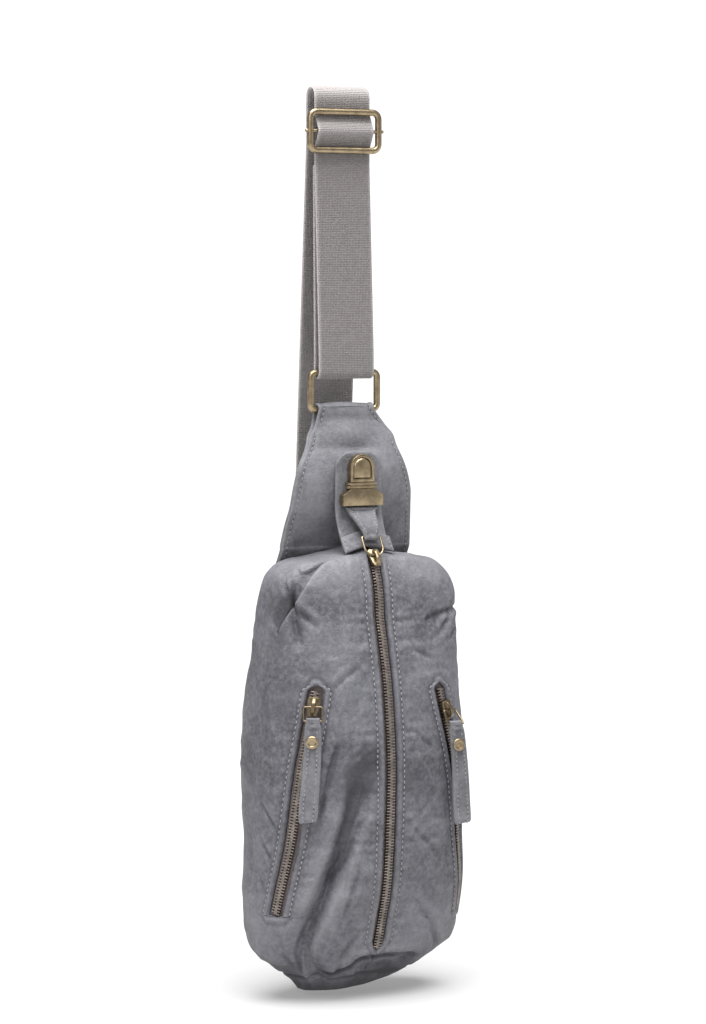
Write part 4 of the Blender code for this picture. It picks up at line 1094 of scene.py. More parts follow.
def brass_material(name, colour, rough_shift=0.0):
    """Antique brass, browned in clouds."""
    if name in bpy.data.materials:
        return bpy.data.materials[name]
    made, tree, shader = new_material(name)
    patina = use_group(tree, patina_group(), {"Vector": object_place(tree)})
    tone = colour_mix(tree, patina.outputs["Dark"], colour, toned(colour, 0.62))
    tree.links.new(tone, shader.inputs["Base Color"])
    tree.links.new(plus(tree, patina.outputs["Rough"], rough_shift), shader.inputs["Roughness"])
    shader.inputs["Metallic"].default_value = 1.0
    bump(tree, shader, patina.outputs["Height"], 0.00006)
    return made


# Leather body

# How dark the turned-in rims are, as a depth of relief
RIM_SHADE = -0.001


def panel_piece(rows, row_angles, crumple, rims=(None, None)):
    """A leather panel: rows of angles, with turned-in rims along the chosen sides."""
    points, wear_and_shading = [], []
    for down in rows:
        angles = np.asarray(row_angles(down), float)
        outer, normal, relief = leather_row(angles, down, crumple=crumple)
        first, last = (
            np.array([outer[at] - normal[at] * depth for depth in rim or ()]).reshape(-1, 3)
            for at, rim in zip((0, -1), rims)
        )
        points.append(np.concatenate((first[::-1], outer, last)))
        wear_and_shading.append(np.concatenate((np.full(len(first), RIM_SHADE), relief, np.full(len(last), RIM_SHADE))))
    return np.array(points), np.array(wear_and_shading)


def light_and_shade_by_height(points):
    """Painted light and shade by height: painted shade darkens the foot where it nears the floor, painted
    light lightens the upward-facing shoulders, and the lower body between about 0.62 and 0.93 of the height
    is made lighter.
    """
    down = (BODY_TOP - points[:, 2]) / BODY_HEIGHT
    # Painted light: the upward-facing shoulders are lighter under the overhead light.
    shoulder = 0.72 * smooth_step((0.13 - down) / 0.10)
    # Lighter on the lower body between about 0.62 and 0.93 of the height.
    low = 0.50 * smooth_step((down - 0.62) / 0.20) * smooth_step((0.93 - down) / 0.05)
    # Painted shade at the foot, darker where it nears the floor.
    return 0.90 * smooth_step((down - 0.90) / 0.08) - shoulder - low


def body_wear_and_shading(relief, points):
    """Raised places are lighter from scuffing and sunk ones darker with painted shade, over the painted light
    and shade by height.
    """
    return np.clip(relief / 0.0022, -0.6, 1.0) - light_and_shade_by_height(points)


def add_panel(name, grids, material, node):
    """Joins grids of one panel into a piece and stores per point how much lighter or darker it is: scuffing
    on raised places, painted shade in sunk ones, and painted light and shade by height.
    """
    all_points, all_faces, all_wear = [], [], []
    start = 0
    for points, wear_and_shading in grids:
        rows, columns = points.shape[:2]
        all_points.append(points.reshape(-1, 3))
        all_faces.append(grid_faces(rows, columns) + start)
        all_wear.append(wear_and_shading.ravel())
        start += rows * columns
    points = np.concatenate(all_points)
    faces = np.concatenate(all_faces)
    a, b, c = (points[faces[:, k]] for k in range(3))
    outward = (a + c) / 2 - np.array((0.0, BODY_MID, BODY_TOP - BODY_HEIGHT / 2))
    if (np.cross(b - a, c - a) * outward).sum() < 0:
        faces = faces[:, ::-1]
    mesh = bpy.data.meshes.new(name)
    mesh.from_pydata(points.tolist(), [], faces.tolist())
    set_wear_and_shading(mesh, body_wear_and_shading(np.concatenate(all_wear), points))
    clean_mesh(mesh, merge=8e-6, outward=False)
    mesh.shade_smooth()
    return finish(link_object(name, mesh), material, "body_leather", node)


def front_piece(side, leather, material):
    """One front panel, in two grids that meet at the pocket zip's lips."""
    rows = [0.0, 0.003, 0.006, 0.009] + spaced(0.012, 0.08, 56) + spaced(0.0828, BASE_SEAM, 330)
    skirt = (0.0008, 0.0018, 0.0036)

    def inner(down):
        start = front_angle(down, main_slot_half(down))
        line = pocket_angle(down, side)
        lip = line - angle_step(line, down, pocket_half(down, side))
        return side * np.linspace(start, lip, 84)

    def outer(down):
        line = pocket_angle(down, side)
        lip = line + angle_step(line, down, pocket_half(down, side))
        return side * np.linspace(lip, SIDE_SEAM, 96)

    grids = [
        panel_piece(rows, inner, leather.crumple, (skirt, None)),
        panel_piece(rows, outer, leather.crumple, (None, skirt)),
    ]
    open_rows = [k for k, d in enumerate(rows) if pocket_half(d, side) > 0]
    first, last = open_rows[0] - 1, open_rows[-1] + 1
    loop = [(d, -1) for d in rows[first:last + 1]] + [(d, 1) for d in rows[first:last + 1]][::-1]
    edge, shade = [], []
    for down, way in loop:
        line = pocket_angle(down, side)
        angle = side * (line + way * angle_step(line, down, pocket_half(down, side)))
        places, normal, _ = leather_row(np.array([angle]), down, crumple=leather.crumple)
        edge.append([places[0] - normal[0] * depth for depth in (0.0,) + skirt])
        shade.append([-0.0002] + [RIM_SHADE] * len(skirt))
    grids.append((np.array(edge), np.array(shade)))
    name = "front_left" if side < 0 else "front_right"
    return add_panel(name + "_leather", grids, material, name + "_panel")


def make_body(scene):
    leather = scene.sling_bag_leather
    material = leather_material("body leather", leather.body, leather.worn_and_lit, 0.42)
    front_piece(-1, leather, material)
    front_piece(1, leather, material)
    rows = spaced(0.016, 0.08, 44) + spaced(0.083, BASE_SEAM, 250)
    back = np.linspace(SIDE_SEAM, 2 * math.pi - SIDE_SEAM, 130)
    grid = panel_piece(rows, lambda down: back, leather.crumple, ((0.0015, 0.0035), (0.0015, 0.0035)))
    add_panel("back_leather", [grid], material, "back_panel")
    add_base(leather, material)


def add_base(leather, material):
    """The rounded foot, closed at its lowest place."""
    last = TABLE[-1]["down"]
    angles = np.linspace(0, 2 * math.pi, 361)[:-1]
    rows, tones = [], []
    for down in spaced(BASE_SEAM, last, 44):
        places, _, relief = leather_row(angles, down, crumple=leather.crumple)
        rows.append(places)
        tones.append(relief)
    rim = rows[-1]
    aside = read_section(last)["shift"] * BODY_WIDTH / 2
    centre = np.array((aside, rim[:, 1].mean(), BODY_TOP - BODY_HEIGHT))
    for share in (0.25, 0.5, 0.72, 0.9):
        drop = 1 - (1 - share) ** 2
        ring = rim + (centre - rim) * share
        ring[:, 2] = rim[:, 2] + (centre[2] - rim[:, 2]) * drop
        rows.append(ring)
        tones.append(tones[-1] * 0.5)
    count = len(angles)
    points = np.concatenate(rows + [centre[None, :]])
    faces = tube_faces(len(rows), count)
    pole = len(points) - 1
    start = (len(rows) - 1) * count
    faces += [(start + c, pole, start + (c + 1) % count) for c in range(count)]
    made = object_from("base_leather", points, faces)
    if sum(p.normal.z * p.area for p in made.data.polygons) > 0:
        made.data.flip_normals()
    set_wear_and_shading(made.data, body_wear_and_shading(np.concatenate(tones + [np.zeros(1)]), points))
    finish(made, material, "body_leather", "base_panel")


# Zips

def zip_levels():
    """Heights over the leather: the upper and lower side of the tape, then of the teeth."""
    tape_top = -WALL - TAPE_SINK
    chain_under = tape_top + GAP
    return tape_top, tape_top - TAPE_THICK, chain_under + CHAIN_HEIGHT, chain_under


def zip_angle(which, down):
    """The angle of a zip's middle at a height: zip 0 is the main one, -1 and 1 are the pockets'."""
    return which * pocket_angle(down, which) if which else 0.0


def slider_frame(angle, down, lean=0.0):
    """The frame of a slider that sits on the chain."""
    seat = max(zip_levels()[2], 0.0) + GAP
    above = on_body(angle + lean, down - 0.01, seat)
    below = on_body(angle - lean, down + 0.01, seat)
    return local_frame(on_body(angle, down, seat), above - below, Vector(row_normals([angle], down)[0]))


def hang_frames(side):
    """The slider of a pocket zip, and the upper end of the pull that hangs straight down from it."""
    (top_angle, top), (foot_angle, foot_down) = POCKET_TOP[side], POCKET_FOOT[side]
    down = top + POCKET_ZIP_ABOVE[side] / BODY_HEIGHT
    slope = math.radians(foot_angle - top_angle) / (foot_down - top) * 0.01
    frame = slider_frame(side * pocket_angle(down, side), down, -side * slope)
    outward = frame.col[2].to_3d()
    outward.z = 0.0
    outward.normalize()
    foot = frame @ Vector((0.0, 0.0, SLIDER_THICK + PULL_THICK)) + outward * PULL_STAND[side]
    foot.z += BAIL_WIRE - BAIL_LENGTH
    turned = Matrix.Rotation(-math.radians(PULL_TURN[side]), 3, "Z") @ outward
    return frame, local_frame(foot, Vector((0, 0, 1)), turned)


def tape_piece(name, which, start, end, half, cloth, node):
    tape_top, tape_under, _, _ = zip_levels()
    level = (tape_top + tape_under) / 2
    rows = []
    for down in spaced(start, end, 160):
        line = zip_angle(which, down)
        if which == 0:
            angles = [front_angle(down, x) for x in spaced(-half, half, 15)]
        else:
            reach = angle_step(line, down, half)
            angles = spaced(line - reach, line + reach, 15)
        lift = (level - fold_depth(angles, down))[:, None]
        rows.append(smooth_row(angles, down) + row_normals(angles, down) * lift)
    made = sheet(name, np.array(rows), TAPE_THICK)
    finish(made, webbing_material("zip tape", cloth.tape, 0.0009, 0.0003), "zip_tape", node)


def tooth_pattern(across, along, height):
    """One moulded tooth with softened edges."""
    start_piece()
    bpy.ops.mesh.primitive_cube_add(size=1.0)
    made = bpy.context.object
    bpy.ops.object.mode_set(mode="EDIT")
    bpy.ops.mesh.select_all(action="SELECT")
    bpy.ops.transform.resize(value=(across, along, height))
    bpy.ops.mesh.bevel(offset=along * 0.24, segments=2)
    bpy.ops.object.mode_set(mode="OBJECT")
    return made


def chain_piece(name, which, start, end, metal, node):
    """Two rows of teeth that lock into each other along a zip."""
    _, _, chain_top, chain_under = zip_levels()
    middle = (chain_top + chain_under) / 2
    downs = spaced(start, end, 240)
    points = np.array([tuple(on_body(zip_angle(which, d), d, middle)) for d in downs])
    reach = reach_along(points)
    pitch = metal.tooth_pitch / 2
    frames = []
    for k in range(int(reach[-1] / pitch)):
        here = (k + 0.5) * pitch
        down = float(np.interp(here, reach, downs))
        normal = Vector(row_normals([zip_angle(which, down)], down)[0])
        before, spot, after = (read_line(s, reach, points) for s in (here - 0.001, here, here + 0.001))
        at = local_frame(spot, before - after, normal)
        side = 1 if k % 2 else -1
        frames.append(at @ Matrix.Translation((side * CHAIN_WIDTH * 0.16, 0, 0)))
    tooth = tooth_pattern(CHAIN_WIDTH * 0.66, metal.tooth_pitch * 0.44, CHAIN_HEIGHT * 0.92)
    made = copies(name, tooth, frames)
    finish(made, brass_material("zip teeth", metal.chain, 0.08), "zip_chain", node)


def make_zips(scene):
    metal, cloth = scene.sling_bag_metal, scene.sling_bag_cloth
    tape_piece(
        "main_zip_tape", 0, MAIN_CHAIN_TOP - 0.006, MAIN_ZIP_FOOT + 0.006, MAIN_SLOT / 2 + TAPE_LAP, cloth,
        "main_tape")
    chain_piece("main_zip_teeth", 0, MAIN_CHAIN_TOP, MAIN_ZIP_FOOT, metal, "main_chain")
    for which, prefix in SIDES:
        top, foot = POCKET_TOP[which][1], POCKET_FOOT[which][1]
        span = foot - top
        tape_piece(prefix + "_zip_tape", which, top - 0.02 * span, foot + 0.02 * span,
                   POCKET_SLOT / 2 + TAPE_LAP / 2, cloth, prefix + "_tape")
        chain_piece(prefix + "_zip_teeth", which, top + 0.02 * span, foot - 0.004, metal, prefix + "_chain")


# Yoke, patch and tabs

# Heights at which the yoke is drawn in, full, painted pale as a highlight where its full bulge catches the
# light, and pressed down by its patch
GATHER_AT = -0.2168
FULL_AT = -0.2262
YOKE_HIGHLIGHT_AT = -0.2245
PRESSED_AT = -0.2360

# How far the stitches stand from the edges of the yoke, the pulls and the lock's tab
TRIM_STITCH_INSET = 0.0036
PULL_STITCH_INSET = 0.0028
LOCK_TAB_STITCH_INSET = 0.0020

# The yoke's rows: share of its drop, share of its flare, extra width on the right, lean and bulge as shares
YOKE_ROWS = (
    (0.00, 0.000, 0.000, 0.000, 0.0),
    (0.12, 0.120, 0.052, 0.180, 0.3),
    (0.19, 0.270, 0.060, 0.310, 0.55),
    (0.28, 0.420, 0.032, 0.480, 0.8),
    (0.42, 0.690, 0.000, 0.690, 1.0),
    (0.58, 0.830, 0.000, 0.700, 1.0),
    (0.72, 0.880, 0.000, 0.560, 0.9),
    (0.86, 0.950, 0.000, 0.320, 0.5),
    (1.00, 1.000, 0.000, 0.170, 0.0),
)


def arc(centre, radius, start, end, count):
    return [
        (centre[0] + radius * math.cos(a), centre[1] + radius * math.sin(a))
        for a in (math.radians(t) for t in spaced(start, end, count))
    ]


def smooth_path(points, count):
    values = np.array([tuple(p) for p in points])
    return [tuple(p) for p in catmull(values, np.linspace(0, len(values) - 1, count))]


def ribbon_grid(path, halves, columns, sag=None):
    rows = []
    for i, ((y, z), half) in enumerate(zip(path, halves)):
        share = i / (len(path) - 1)
        left, right = half if isinstance(half, tuple) else (half, half)
        row = []
        for x in spaced(-left, right, columns):
            dy, dz = sag(share, x) if sag else (0.0, 0.0)
            row.append((x, y + dy, z + dz))
        rows.append(row)
    return np.array(rows)


def yoke_grid():
    bar = (-RING_SET_BACK, -RING_DROP - RING_HEIGHT / 2 + RING_WIRE / 2)
    fold = RING_WIRE / 2 + GAP + LEATHER / 2
    drop = bar[1] - (BODY_TOP + GAP)
    ply = LEATHER + GAP
    front, back, halves, bulges = [], [], [], []
    last_row = len(YOKE_ROWS) - 1
    for k, (down, wide, right, lean_share, bulge) in enumerate(YOKE_ROWS):
        if k == 0:
            continue
        z = bar[1] - drop * down
        together = min(1.0, down / 0.3)
        joined = bar[0] - ply / 2 - lean_share * YOKE_LEAN
        y_front = bar[0] - fold + (joined - bar[0] + fold) * together
        y_back = bar[0] + fold + (joined + ply - bar[0] - fold) * together
        if k == last_row:
            y_front = on_body(math.pi, 0.0, GAP + LEATHER / 2).y
            y_back = y_front + ply
        front.append((y_front, z))
        back.append((y_back, z))
        half = (YOKE_NECK + (YOKE_FLARE - YOKE_NECK) * wide) / 2
        halves.append((half, half + right * YOKE_FLARE))
        bulges.append(bulge)
    for down in spaced(0.012, YOKE_LAP / BODY_HEIGHT, 5):
        seat = on_body(math.pi, down, GAP + LEATHER / 2)
        front.append((seat.y, seat.z))
        back.append((seat.y + ply, seat.z))
        halves.append((YOKE_FLARE / 2, YOKE_FLARE / 2))
        bulges.append(0.0)
    over = arc(bar, fold, 180, 0, 9)
    path = front[::-1] + over + back
    half_widths = halves[::-1] + [(YOKE_NECK / 2, YOKE_NECK / 2)] * len(over) + halves
    bulge_rows = bulges[::-1] + [0.0] * len(over) + bulges
    last = len(path) - 1

    def sag(share, x):
        k = round(share * last)
        off_centre = 1 - (x / half_widths[k][x > 0]) ** 2
        return -YOKE_BULGE * bulge_rows[k] * off_centre, 0.0

    return ribbon_grid(path, half_widths, 7, sag)


def patch_y():
    front = -RING_SET_BACK - (LEATHER + GAP) / 2 - 0.70 * YOKE_LEAN - YOKE_BULGE - LEATHER / 2
    return front - GAP - LEATHER / 2


def patch_path(count=22):
    y = patch_y()
    end_z = BODY_TOP + 0.0018
    fall = PATCH_TOP - end_z
    reach = y - slider_frame(0.0, MAIN_ZIP_TOP + MAIN_SLIDER_BELOW).translation.y - PATCH_SET_BACK
    steps = ((0.0, 0.0), (0.22, 0.0), (0.44, 0.0), (0.65, 0.0), (0.81, 0.32), (1.0, 1.0))
    return smooth_path([(y - reach * lean, PATCH_TOP - fall * drop) for drop, lean in steps], count)


def droop(x, amount):
    return 0.0, -PATCH_DROOP * amount * (abs(x) / (PATCH_WIDTH / 2)) ** 1.4


def lock_patch_grid():
    path = patch_path()
    half = PATCH_WIDTH / 2
    round_end = [0.45, 0.75, 0.93]
    halves = [half * r for r in round_end] + [half] * (len(path) - len(round_end))
    return ribbon_grid(path, halves, 7, lambda share, x: droop(x, max(0.0, (share - 0.6) / 0.4) ** 1.5))


def end_tab_grid():
    path = patch_path()
    end, before = Vector(path[-1]), Vector(path[-4])
    run = (end - before).normalized()
    outward = Vector((run.y, -run.x))
    raised = LEATHER + END_TAB_CLEAR
    start = end - run * END_TAB_LENGTH * 0.70
    route = [tuple(start + run * END_TAB_LENGTH * t + outward * raised) for t in spaced(0.0, 1.0, 5)]
    return ribbon_grid(route, [END_TAB_WIDTH / 2] * len(route), 9, lambda share, x: droop(x, 1.0))


def soft_relief(height, scale):
    """Gentle unevenness for a stitched leather piece, with the groove of its edge stitching."""
    def relief(across, along, side):
        wave = np.sin(across * scale + 2.1 * np.sin(along * scale * 0.7)) * np.sin(along * scale * 0.83 + 0.7)
        return height * wave * smooth_step(side / 0.006) - 0.0004 * bell(side - TRIM_STITCH_INSET, 0.0010)
    return relief


def yoke_relief(grid):
    """The yoke is drawn in under the ring, full below it and pressed down above the patch."""
    soft = soft_relief(0.0005, 150)
    x, z = grid[..., 0], grid[..., 2]
    front = (np.arange(len(grid)) < 0.47 * len(grid))[:, None]

    def relief(across, along, side):
        gather = 0.0011 * bell(z - GATHER_AT, 0.0016)
        full = 0.0018 * bell(z - FULL_AT, 0.0055) * bell(x, 0.022)
        pressed = 0.0026 * bell(z - PRESSED_AT, 0.0035) * bell(x, 0.020)
        return soft(across, along, side) + front * (full - gather - pressed) * smooth_step(side / 0.004)
    return relief


def edged_relief(inset):
    """A folded and stitched strap of leather: a soft middle between two stitch grooves."""
    def relief(across, along, side):
        middle = 0.0003 * smooth_step((side - inset) / 0.0015)
        wave = 0.00025 * np.sin(along * 230 + 2.0 * np.sin(across * 300)) * smooth_step(side / 0.002)
        return middle + wave - 0.0002 * bell(side - inset, 0.0006)
    return relief


def looped_relief(inset):
    """A pull: a strip folded over its bail, pinched under the fold, with the rivet pressed into it."""
    edged = edged_relief(inset)

    def relief(across, along, side):
        run = along / along[-1:].max()
        pinch = 0.0012 * bell(run - 0.085, 0.022) + 0.0005 * bell(run - 0.235, 0.060)
        return edged(across, along, side) - pinch * bell(across - across[:, -1:] / 2, 0.0032)
    return relief


def make_yoke(scene):
    leather = scene.sling_bag_leather
    material = leather_material("trim leather", leather.trim, leather.worn_and_lit, 0.30, 0.0003)
    grid = refine(yoke_grid(), 190, edge_shares(YOKE_FLARE, LEATHER, 60))
    # Painted highlight on the yoke's full bulge below the ring, where the light from above falls.
    full = 0.85 * bell(grid[..., 2] - YOKE_HIGHLIGHT_AT, 0.0105) * bell(grid[..., 0], 0.030)
    made = sheet("yoke_leather", grid, LEATHER, yoke_relief(grid), lightened=full)
    finish(made, material, "trim_leather", "yoke")
    small = leather_material("small trim leather", toned(leather.trim, 0.84), leather.worn_and_lit, 0.24, 0.0003)
    tab_relief = edged_relief(LOCK_TAB_STITCH_INSET)
    pull_look = (110, PULL_WIDTH, PULL_THICK, 20, looped_relief(PULL_STITCH_INSET))
    for node, coarse, rows, width, thick, inside, relief in (
        ("lock_patch", lock_patch_grid(), 70, PATCH_WIDTH, LEATHER, 26, soft_relief(0.0003, 240)),
        ("end_tab", end_tab_grid(), 14, END_TAB_WIDTH, LEATHER, 30, soft_relief(0.0002, 300)),
        ("lock_tab", lock_tab_grid(), 40, LOCK_TAB_TOP, LOCK_TAB_THICK, 22, tab_relief),
        ("left_pull", pull_grid(-1), *pull_look),
        ("right_pull", pull_grid(1), *pull_look),
    ):
        grid = refine(coarse, rows, edge_shares(width, thick, inside))
        finish(sheet(node + "_leather", grid, thick, relief), small, "trim_leather", node)


# A pull's rows: share of its length, half width and way out as shares of its width
PULL_ROWS = (
    (-0.034, 0.74, 0.00),
    (-0.020, 0.84, 0.00),
    (0.020, 0.85, 0.00),
    (0.040, 0.92, 0.00),
    (0.090, 1.00, 0.00),
    (0.300, 1.03, 0.02),
    (0.550, 1.10, 0.04),
    (0.800, 1.15, 0.05),
    (0.950, 1.13, 0.05),
    (0.988, 1.02, 0.05),
    (1.000, 0.84, 0.05),
)


def pull_grid(side):
    """Mid-surface of a pull, hanging from its bail, with a slight sideways curl."""
    hang = hang_frames(side)[1]
    rows = []
    for along, width, out in PULL_ROWS:
        half = PULL_WIDTH / 2 * width
        curl = 0.0006 * math.sin(along * 5.0) + PULL_LEAN[side] * along
        slant = 0.14 * max(0.0, along - 0.8) / 0.2
        rows.append([
            tuple(hang @ Vector((x + curl, x * slant - along * PULL_LENGTH, out * PULL_WIDTH + 8.0 * x * x)))
            for x in spaced(-half, half, 5)
        ])
    return np.array(rows)


def lock_tab_grid():
    """Mid-surface of the tab between the lock's plate and the ring on the zip's slider."""
    lock_y = patch_y() - LEATHER / 2 - GAP
    lock_z = PATCH_TOP - LOCK_TOP - LOCK_HEIGHT
    top = Vector((lock_y - PLATE_THICK * 0.6, lock_z - 4 * GAP - PLATE_NECK - PLATE_HEIGHT))
    foot, _ = lock_ring_ends()
    run = (foot - top).normalized()
    end = foot + run * (BAIL_WIRE / 2 + GAP + LEATHER * 0.8)
    upright = top - Vector((0.0, 0.0035))
    bowed = upright + (end - upright) * 0.5 + Vector((-LOCK_TAB_BOW, 0.0))
    path = smooth_path([top, upright, bowed, end], 10)
    halves = []
    for k in range(len(path)):
        t = k / (len(path) - 1)
        halves.append((LOCK_TAB_TOP + (LOCK_TAB_FOOT - LOCK_TAB_TOP) * min(1.0, t * 1.15) ** 1.2) / 2)
    return ribbon_grid(path, halves, 5)


def lock_ring_ends():
    """Upper bar and lower bend of the wire ring, as (y, z)."""
    frame = slider_frame(0.0, MAIN_ZIP_TOP + MAIN_SLIDER_BELOW)
    low = (frame @ Vector((0.0, 0.001, SLIDER_THICK + GAP + BAIL_WIRE / 2))).yz
    return low + Vector(LOCK_RING_RUN), low


# Strap

# Heights above which the strap's top fold gets a painted highlight from the overhead light, and of the
# painted highlight on the webbing's upper part in the buckle's window
TOP_HIGHLIGHT_ABOVE = -0.0110
BUCKLE_HIGHLIGHT_AT = -0.0225


def strap_front():
    return -(LOOP_RADIUS + STRAP_THICK / 2)


def buckle_centre():
    bar_reach = BUCKLE_WIRE / 2 + BUCKLE_CLEAR + STRAP_THICK / 2
    return Vector((0.0, strap_front() - bar_reach, -BUCKLE_DROP))


def strap_path():
    ring = (-RING_SET_BACK, -RING_DROP)
    fold = RING_WIRE / 2 + GAP + STRAP_THICK / 2
    bar = (ring[0], ring[1] + RING_HEIGHT / 2 - RING_WIRE / 2)
    buckle = buckle_centre()
    bar_reach = BUCKLE_WIRE / 2 + BUCKLE_CLEAR + STRAP_THICK / 2
    pin_reach = PIN_RADIUS + GAP + STRAP_THICK / 2
    bar_rise = BUCKLE_HEIGHT / 2 - BUCKLE_WIRE / 2
    turn = math.degrees(math.asin((bar_reach + pin_reach) / bar_rise))
    low_bar = (buckle.y, buckle.z - bar_rise)
    high_bar = (buckle.y, buckle.z + bar_rise)
    sewn_top = low_bar[1] - BUCKLE_WIRE * 2.2
    path = [(strap_front() + STRAP_THICK + GAP, sewn_top)]
    path += [(bar[0] + fold, bar[1] + 0.012 * k) for k in (2, 1)]
    path += arc(bar, fold, 0, -180, 9)
    path += [(bar[0] - fold, bar[1] + 0.012)]
    path += [(strap_front(), sewn_top)]
    path += arc(low_bar, bar_reach, 0, turn, 4)
    path += arc((buckle.y, buckle.z), pin_reach, -180 + turn, -180 - turn, 6)
    path += arc(high_bar, bar_reach, -turn, 0, 4)
    path += arc((0.0, -LOOP_RADIUS), LOOP_RADIUS + STRAP_THICK / 2, 180, 0, 11)
    clear = STRAP_CLEAR + STRAP_THICK / 2
    free = [
        (LOOP_RADIUS + STRAP_THICK / 2, -LOOP_RADIUS - 0.03),
        (0.0115, -0.110),
        (0.0177, -RING_DROP),
        (0.0215, BODY_TOP + 0.048),
        (0.0255, BODY_TOP - 0.010),
        (0.0290, BODY_TOP - 0.050),
    ]
    held = [on_body(math.pi, down, clear) for down in spaced(0.36, STRAP_END, 10)]
    return path + smooth_path(free + [(p.y, p.z) for p in held], 60)


def even_path(path, step):
    """A polyline read at even steps, keeping its corners close."""
    points = np.array([tuple(p) for p in path])
    lengths = np.linalg.norm(np.diff(points, axis=0), axis=-1)
    points = points[np.concatenate(([True], lengths > 1e-6))]
    reach = reach_along(points)
    places = np.linspace(0, reach[-1], int(reach[-1] / step))
    return [tuple(np.interp(s, reach, column) for column in points.T) for s in places]


def make_strap(scene):
    cloth = scene.sling_bag_cloth
    path = even_path(strap_path(), 0.0011)
    coarse = ribbon_grid(path, [STRAP_WIDTH / 2] * len(path), 7)
    columns = np.array(edge_shares(STRAP_WIDTH, STRAP_THICK, 30)) * 6
    grid = np.swapaxes(catmull(np.swapaxes(coarse, 0, 1), columns), 0, 1)

    def edge_waver(across, along, side):
        return 0.00008 * np.sin(along * 900) * (side < 0.002)

    # Painted highlight on the top fold under the overhead light, and on the upper part of the webbing in the
    # buckle's window.
    paler = 1.6 * smooth_step((grid[..., 2] - TOP_HIGHLIGHT_ABOVE) / 0.0120)
    band = bell(grid[..., 2] - BUCKLE_HIGHLIGHT_AT, 0.0080) * (grid[..., 1] < buckle_centre().y)
    made = sheet("strap_webbing", grid, STRAP_THICK, edge_waver, lightened=paler + 0.9 * band)
    finish(made, webbing_material("basket webbing", cloth.webbing, cloth.basket, 0.0007), "webbing", "strap")


# Brass

def upright_ring(name, centre, width, height, wire_thick, corner, brass, node):
    """A ring that stands upright across the bag, round wire with rounded corners."""
    loop = rounded_loop(width - wire_thick, height - wire_thick, corner)
    points = [Vector((x, 0, z)) + centre for x, z in loop]
    finish(wire(name, points, wire_thick / 2), brass, "antique_brass", node)


def make_bail(side, prefix, brass):
    """The wire loop between a pocket zip's slider and its pull."""
    frame, hang = hang_frames(side)
    high = frame @ Vector((0.0, 0.0, SLIDER_THICK + GAP + BAIL_WIRE / 2))
    low = hang.translation
    reach = (high - low).length
    up = (high - low).normalized()
    outward = frame.col[2].to_3d()
    outward.z = 0.0
    right = Vector((0, 0, 1)).cross(outward).normalized()
    turned_right = hang.col[0].to_3d()
    points = [(high + low) / 2 + right.lerp(turned_right, 0.5 - z / reach) * x + up * z
              for x, z in rounded_loop(BAIL_WIDTH, reach, BAIL_CORNER, 8)]
    finish(wire(prefix + "_bail_wire", points, BAIL_WIRE / 2, 14), brass, "antique_brass", prefix + "_bail")


def make_lock_ring(brass):
    high, low = lock_ring_ends()
    up = (high - low).normalized()
    points = []
    for x, along in rounded_loop(LOCK_RING_WIDTH, (high - low).length, LOCK_RING_BEND, 12, LOCK_RING_CORNER):
        y, z = (high + low) / 2 + up * along
        points.append(Vector((x, y, z)))
    finish(wire("lock_ring_wire", points, BAIL_WIRE / 2, 14), brass, "antique_brass", "lock_ring")


# Half a rivet cap from its rim to its dished middle, as shares of its radius and height
CAP_PROFILE = (
    (1.0, 0.0), (1.0, 0.4), (0.95, 0.72), (0.84, 0.95), (0.70, 1.0), (0.62, 0.92), (0.55, 0.66), (0.40, 0.56),
    (0.30, 0.60), (0.0, 0.62),
)


def make_rivet(side, prefix, brass):
    hang = hang_frames(side)[1]
    lean = PULL_LEAN[side] * RIVET_DROP / PULL_LENGTH
    seat = Vector((lean, -RIVET_DROP, PULL_THICK / 2 + 0.02 * PULL_WIDTH + GAP / 2))
    at = local_frame(hang @ seat, hang.col[1].to_3d(), hang.col[2].to_3d())
    profile = [(RIVET_RADIUS * r, RIVET_HEIGHT * 1.2 * h) for r, h in CAP_PROFILE]
    finish(lathe(prefix + "_rivet_cap", profile, at), brass, "antique_brass", prefix + "_rivet")


def make_pin(centre, brass):
    """The buckle's loose pin, with rounded ends."""
    half = PIN_LENGTH / 2
    ends = [(0.0, half), (0.55, half - 0.0001), (0.9, half - 0.0005), (1.0, half - 0.0010), (1.0, 0.0)]
    profile = [(PIN_RADIUS * r, h) for r, h in ends] + [(PIN_RADIUS * r, -h) for r, h in ends[::-1][1:]]
    at = local_frame(centre, Vector((0, 0, 1)), Vector((1, 0, 0)))
    finish(lathe("buckle_pin_rod", profile, at, 24), brass, "antique_brass", "buckle_pin")


def make_rings(scene):
    metal = scene.sling_bag_metal
    brass = brass_material("antique brass", metal.brass)
    dark = brass_material("dark antique brass", toned(metal.brass, 0.60))
    ring = Vector((0.0, -RING_SET_BACK, -RING_DROP))
    upright_ring("yoke_ring_wire", ring, RING_WIDTH, RING_HEIGHT, RING_WIRE, RING_CORNER, brass, "yoke_ring")
    centre = buckle_centre()
    upright_ring(
        "buckle_wire", centre, BUCKLE_WIDTH, BUCKLE_HEIGHT, BUCKLE_WIRE, BUCKLE_CORNER, brass, "buckle_frame")
    for side, prefix in SIDES:
        make_bail(side, prefix, dark)
    make_lock_ring(brass)
    for name, offset, look, body in (
        ("main_slider", 0.0003, brass, "bag"), ("left_slider", 0.0003, dark, "bag"),
        ("right_slider", 0.0003, dark, "bag"), ("lock_frame", 0.0006, brass, "bag"),
        ("lock_button", 0.0005, brass, "button"), ("lock_plate", 0.0005, brass, "bag"),
    ):
        finish(softened(name, offset), look, "antique_brass", name, body=body)
    for side, prefix in SIDES:
        make_rivet(side, prefix, brass)
    make_pin(centre, brass)



# Stitching

